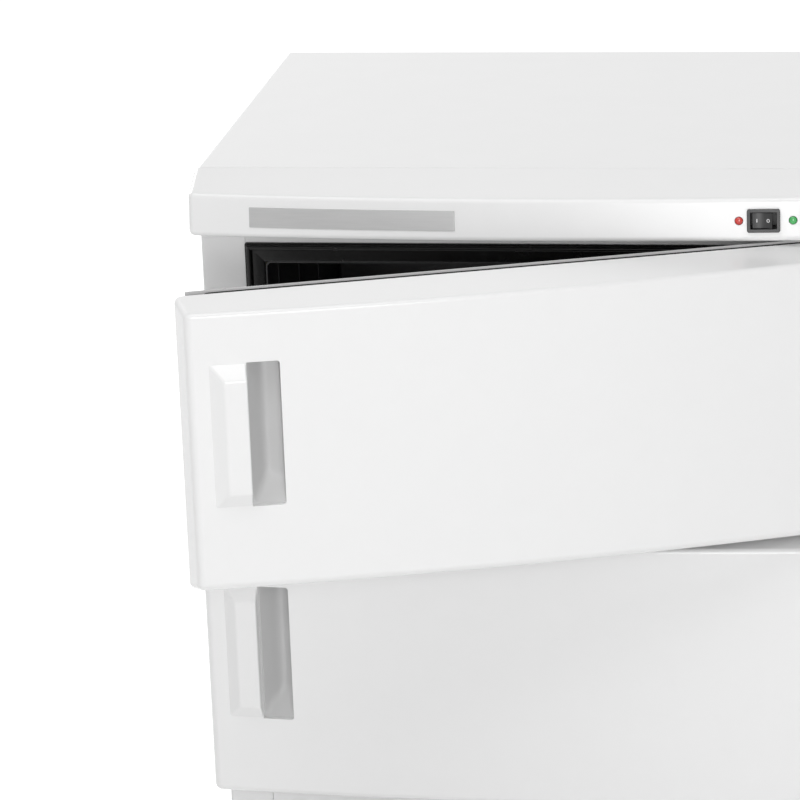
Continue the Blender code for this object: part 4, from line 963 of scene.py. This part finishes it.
def handle_place(level):
    """Give the place on the door's face where the recess begins."""
    x = DOOR_LEFT + RECESS_FROM_DOOR_END
    tilt = bulge_tilt(x + RECESS_WIDTH / 2 - DOOR_MIDDLE, DOOR_WIDTH / 2)
    z = DOOR_HEIGHT - RECESS_FROM_DOOR_TOP - RECESS_HEIGHT / 2
    return door_place(level) @ Matrix.Translation((x, door_face(x), z)) @ Matrix.Rotation(tilt, 4, "Z")


def recess_outline():
    """Outline the recess's mouth, square by the grip and rounded on its far side."""
    half = RECESS_HEIGHT / 2
    middle = RECESS_WIDTH / 2
    whole = [(x + middle, z) for x, z in rounded_rectangle(middle, half, RECESS_CORNER)]
    rounded = [point for point in whole if point[0] > middle]
    lower = [point for point in rounded if point[1] < 0]
    upper = [point for point in rounded if point[1] > 0]
    return [(0, -half)] + lower + upper + [(0, half)]


def build_skin(level):
    """Mould a door's drafted, bulged outer shell."""
    builder = box_builder((DOOR_LEFT, DOOR_FRONT, 0), (HINGE_INSET, SHELL_REAR, DOOR_HEIGHT))
    strip_along(builder, 0, DOOR_LEFT, HINGE_INSET, DOOR_STRIPS)
    open_side(builder, 1, SHELL_REAR)
    narrowing = 1.0 - 2.0 * DOOR_SIDE_DRAFT / DOOR_WIDTH
    middle_y = (DOOR_FRONT + SHELL_REAR) / 2

    def share_of(edge):
        """Give the front's top edge a smaller radius than the other edges."""
        at_top = all(vertex.co.z > DOOR_HEIGHT / 2 and vertex.co.y < middle_y for vertex in edge.verts)
        return DOOR_TOP_SHARE if at_top else 1.0

    weigh_edges(builder, share_of)
    for vertex in builder.verts:
        if vertex.co.y < middle_y:
            vertex.co.y = door_face(vertex.co.x)
            vertex.co.x = DOOR_MIDDLE + (vertex.co.x - DOOR_MIDDLE) * narrowing
            vertex.co.z += -DOOR_TOP_DRAFT if vertex.co.z > DOOR_HEIGHT / 2 else DOOR_BOTTOM_DRAFT
    skin = make_object(level + "_door_skin", builder, door_place(level))
    round_edges(skin, DOOR_EDGE_RADIUS, ROUND_STEPS, limit="WEIGHT")
    give_wall(skin, DOOR_WALL)
    combine(skin, prism_builder(recess_outline(), "XZ", -CUT_OVERRUN, DOOR_WALL + CUT_OVERRUN),
            handle_place(level))
    for end in (DOOR_HEIGHT, 0.0):
        bore = rod_builder((0, 0, end - BUSH_LENGTH), (0, 0, end + BUSH_LENGTH), BUSH_RADIUS + GAP)
        combine(skin, bore, door_place(level))
    dress(skin, "white_plastic", level + "_door", level + "_door_shell")


def build_cup(level):
    """Mould the finger recess: a trough, deepest at its middle, that slopes out at its foot."""
    half = RECESS_HEIGHT / 2
    block = box_builder((-CUP_WALL, DOOR_WALL, -half - CUP_WALL),
                        (RECESS_WIDTH + CUP_WALL, RECESS_DEPTH + CUP_WALL, half + CUP_WALL))
    cup = make_object(level + "_finger_cup", block, handle_place(level))
    combine(cup, scoop_builder(half), handle_place(level))
    dress(cup, "cup_plastic", level + "_door", level + "_handle_cup")


def soft_min(first, second):
    """Give the smaller of two depths, with a rounded change from one to the other."""
    near = max(0.0, 1.0 - abs(first - second) / RECESS_BLEND)
    return min(first, second) - near * near * RECESS_BLEND / 4


def scoop_depth(across, above_foot):
    """Give the depth of the finger recess at a place across it and a height above its foot."""
    mouth = DOOR_WALL / 2
    deepest = RECESS_WIDTH * RECESS_DEEPEST
    fall = RECESS_GRIP_LIP + (RECESS_FLOOR - RECESS_GRIP_LIP) * across / deepest
    rise = RECESS_FLOOR - (RECESS_FLOOR - RECESS_LIP) * (across - deepest) / (RECESS_WIDTH - deepest)
    foot = mouth + above_foot * (RECESS_FLOOR - mouth) / RECESS_END_SLOPE
    return soft_min(soft_min(fall, rise), foot)


def scoop_builder(half):
    """Make the hollow of the finger recess, from the door's face to its floor."""
    builder = box_builder((0, 0, -half), (RECESS_WIDTH, RECESS_DEPTH, half))
    strip_along(builder, 0, 0, RECESS_WIDTH, SCOOP_STRIPS)
    strip_along(builder, 2, -half, 0, SCOOP_STRIPS)
    for vertex in builder.verts:
        if vertex.co.y > RECESS_DEPTH / 2:
            vertex.co.y = scoop_depth(vertex.co.x, vertex.co.z + half)
    return builder


def build_grip(level):
    """Mould the raised wedge beside the recess."""
    half = RECESS_HEIGHT / 2
    builder = box_builder((-GRIP_FACE - GRIP_BEVEL, -GRIP_PROUD - GAP, -half), (0, GRIP_ROOT, half))
    for vertex in builder.verts:
        if vertex.co.y < -GRIP_PROUD / 2:
            vertex.co.z *= (half - GRIP_END_BEVEL) / half
            vertex.co.x = max(vertex.co.x, -GRIP_FACE)
    grip = make_object(level + "_door_grip", builder, handle_place(level))
    round_edges(grip, GRIP_EDGE, SOFT_STEPS, GRIP_ANGLE)
    dress(grip, "white_plastic", level + "_door", level + "_handle_grip")


def build_panel(level):
    """Mould the grey rear panel with its boss, and a black strip in the gap before it that paints the
    gap's shadow.
    """
    front = DOOR_REAR - PLATE_THICKNESS
    place = door_place(level)
    left = DOOR_LEFT + PANEL_END_INSET
    right = HINGE_INSET - PANEL_END_INSET
    sheet = box_builder((left, front, PANEL_INSET), (right, DOOR_REAR, DOOR_HEIGHT + PANEL_RISE))
    panel = make_object(level + "_door_back", sheet, place)
    combine(panel, box_builder((-BRACKET_SWEEP, -DOOR_EDGE_DEPTH, DOOR_HEIGHT - PANEL_INSET),
                               (2 * HINGE_INSET, 2 * DOOR_REAR, DOOR_HEIGHT + 2 * PANEL_RISE)), place)
    combine(panel, box_builder((DOOR_LEFT + POCKET_INSET, DOOR_REAR - POCKET_DEPTH, POCKET_MARGIN),
                               (-POCKET_INSET, 2 * DOOR_REAR, DOOR_HEIGHT - POCKET_MARGIN)), place)
    round_edges(panel, FINE_EDGE)
    inset = DOOR_EDGE_RADIUS
    boss = box_builder((DOOR_LEFT + inset, DOOR_REAR - PANEL_THICKNESS - PANEL_BOSS, inset),
                       (-2 * HINGE_INSET, front + PLATE_THICKNESS / 3, DOOR_HEIGHT - inset))
    combine(panel, boss, place, "UNION")
    dress(panel, "grey_plastic", level + "_door", level + "_door_inner_panel")

    # Painted shadow: a black strip that darkens the gap between the door's shell and its panel, where only
    # shade falls
    shadow_strip_left = left + SHADOW_STRIP_END_INSET
    half_x = (right - shadow_strip_left) / 2
    half_z = (DOOR_HEIGHT + SHADOW_STRIP_RISE - PANEL_INSET) / 2
    section = [(0, 0), (0, SHADOW_STRIP_DEPTH), (SHADOW_STRIP_WIDTH, SHADOW_STRIP_DEPTH), (SHADOW_STRIP_WIDTH, 0)]
    middle = Matrix.Translation((shadow_strip_left + half_x, front, PANEL_INSET + half_z))
    strip = ring_builder(half_x, half_z, DOOR_EDGE_RADIUS, section)
    seal = make_object(level + "_painted_shadow_strip", strip, place @ middle)
    dress(seal, "black_rubber", level + "_door")


# CAD nodes that stay

def dress_nodes():
    """Give every CAD node that still shows a smooth surface and its slot's material."""
    slots = {part["node"]: part["material_slot"] for part in FRAME["record"]["subparts"]}
    for name, node in FRAME["nodes"].items():
        if node.hide_render:
            continue
        node.data.materials.clear()
        node.data.materials.append(FINISHES[slots[name]])
        node.data.shade_smooth()
        weld = node.modifiers.new("weld", "WELD")
        weld.merge_threshold = WELD_DISTANCE
        split = node.modifiers.new("split", "EDGE_SPLIT")
        split.split_angle = radians(SMOOTH_ANGLE)


# Stage, light and camera

def seen_directly(tree):
    """Give 1 for camera, glossy and transmission rays, and 0 for the rest."""
    path = tree.nodes.new("ShaderNodeLightPath")
    total = path.outputs["Is Camera Ray"]
    for kind in ("Is Glossy Ray", "Is Transmission Ray"):
        larger = tree.nodes.new("ShaderNodeMath")
        larger.operation = "MAXIMUM"
        tree.links.new(total, larger.inputs[0])
        tree.links.new(path.outputs[kind], larger.inputs[1])
        total = larger.outputs[0]
    return total


def build_floor():
    """Lay a pale floor that looks white where it is lit and keeps the shadow."""
    builder = bmesh.new()
    bmesh.ops.create_grid(builder, x_segments=1, y_segments=1, size=FLOOR_SIZE / 2)
    floor = make_object("floor", builder, Matrix())
    material = bpy.data.materials.new("floor_white")
    material.use_nodes = True
    tree = material.node_tree
    tree.nodes.remove(tree.nodes["Principled BSDF"])
    plain = tree.nodes.new("ShaderNodeBsdfDiffuse")
    plain.inputs["Color"].default_value = (FLOOR_GREY, FLOOR_GREY, FLOOR_GREY, 1.0)
    lit = tree.nodes.new("ShaderNodeBsdfDiffuse")
    lit.inputs["Color"].default_value = (FLOOR_LIT, FLOOR_LIT, FLOOR_LIT, 1.0)
    glow = tree.nodes.new("ShaderNodeEmission")
    glow.inputs["Strength"].default_value = FLOOR_GLOW
    shown = tree.nodes.new("ShaderNodeAddShader")
    choice = tree.nodes.new("ShaderNodeMixShader")
    tree.links.new(lit.outputs[0], shown.inputs[0])
    tree.links.new(glow.outputs[0], shown.inputs[1])
    tree.links.new(seen_directly(tree), choice.inputs[0])
    tree.links.new(plain.outputs[0], choice.inputs[1])
    tree.links.new(shown.outputs[0], choice.inputs[2])
    tree.links.new(choice.outputs[0], tree.nodes["Material Output"].inputs["Surface"])
    floor.data.materials.append(material)


def build_world():
    """Surround the object with even light, seen as white."""
    world = bpy.data.worlds.new("studio")
    world.use_nodes = True
    SCENE.world = world
    tree = world.node_tree
    strength = tree.nodes.new("ShaderNodeMapRange")
    strength.inputs["To Min"].default_value = AMBIENT
    strength.inputs["To Max"].default_value = WHITE
    background = tree.nodes["Background"]
    background.inputs["Color"].default_value = (1.0, 1.0, 1.0, 1.0)
    tree.links.new(seen_directly(tree), strength.inputs["Value"])
    tree.links.new(strength.outputs["Result"], background.inputs["Strength"])


def build_lamps():
    """Hang soft lamps that face the middle of the cabinet."""
    target = Vector(LAMP_TARGET)
    for name, azimuth, elevation, width, height, power in LAMPS:
        across = radians(azimuth)
        above = radians(elevation)
        data = bpy.data.lights.new(name, "AREA")
        data.shape = "RECTANGLE"
        data.size = width
        data.size_y = height
        data.energy = power
        lamp = bpy.data.objects.new(name, data)
        outward = Vector((sin(across) * cos(above), -cos(across) * cos(above), sin(above)))
        lamp.location = target + outward * LAMP_DISTANCE
        lamp.rotation_mode = "QUATERNION"
        lamp.rotation_quaternion = outward.to_track_quat("Z", "Y")
        SCENE.collection.objects.link(lamp)


def build_camera():
    """Set the camera where the photograph was taken from."""
    data = bpy.data.cameras.new("camera")
    data.sensor_width = SENSOR_WIDTH
    data.lens = CAMERA_LENS
    camera = bpy.data.objects.new("camera", data)
    SCENE.collection.objects.link(camera)
    forward = Vector((-sin(CAMERA_YAW) * cos(CAMERA_PITCH), cos(CAMERA_YAW) * cos(CAMERA_PITCH),
                      -sin(CAMERA_PITCH)))
    level = Vector((cos(CAMERA_YAW), sin(CAMERA_YAW), 0.0))
    upright = level.cross(forward)
    right = level * cos(CAMERA_ROLL) + upright * sin(CAMERA_ROLL)
    up = upright * cos(CAMERA_ROLL) - level * sin(CAMERA_ROLL)
    turn = Matrix((right, up, -forward)).transposed().to_4x4()
    place = BODY_PLACE @ Matrix.Translation((0.0, 0.0, DOOR_TOP_Z)) @ Matrix.Translation(CAMERA_OFFSET)
    camera.matrix_world = place @ turn
    SCENE.camera = camera


build_wrapper()
build_fascia()
build_nameplate()
build_back()
build_inlet()
for corner_name in ("lower_left", "lower_right", "upper_left", "upper_right"):
    build_screw(corner_name)
for corner_name in ("front_left", "front_right", "rear_left", "rear_right"):
    build_foot(corner_name)
for door_level, door_bottom in DOOR_LEVELS.items():
    build_lining(door_level)
    build_tray(door_level)
    build_rack(door_level)
    build_catch(door_level)
    build_gasket(door_level, door_bottom)
    build_skin(door_level)
    build_cup(door_level)
    build_grip(door_level)
    build_panel(door_level)
dress_nodes()
build_floor()
build_world()
build_lamps()
build_camera()
SCENE.view_settings.view_transform = "Standard"
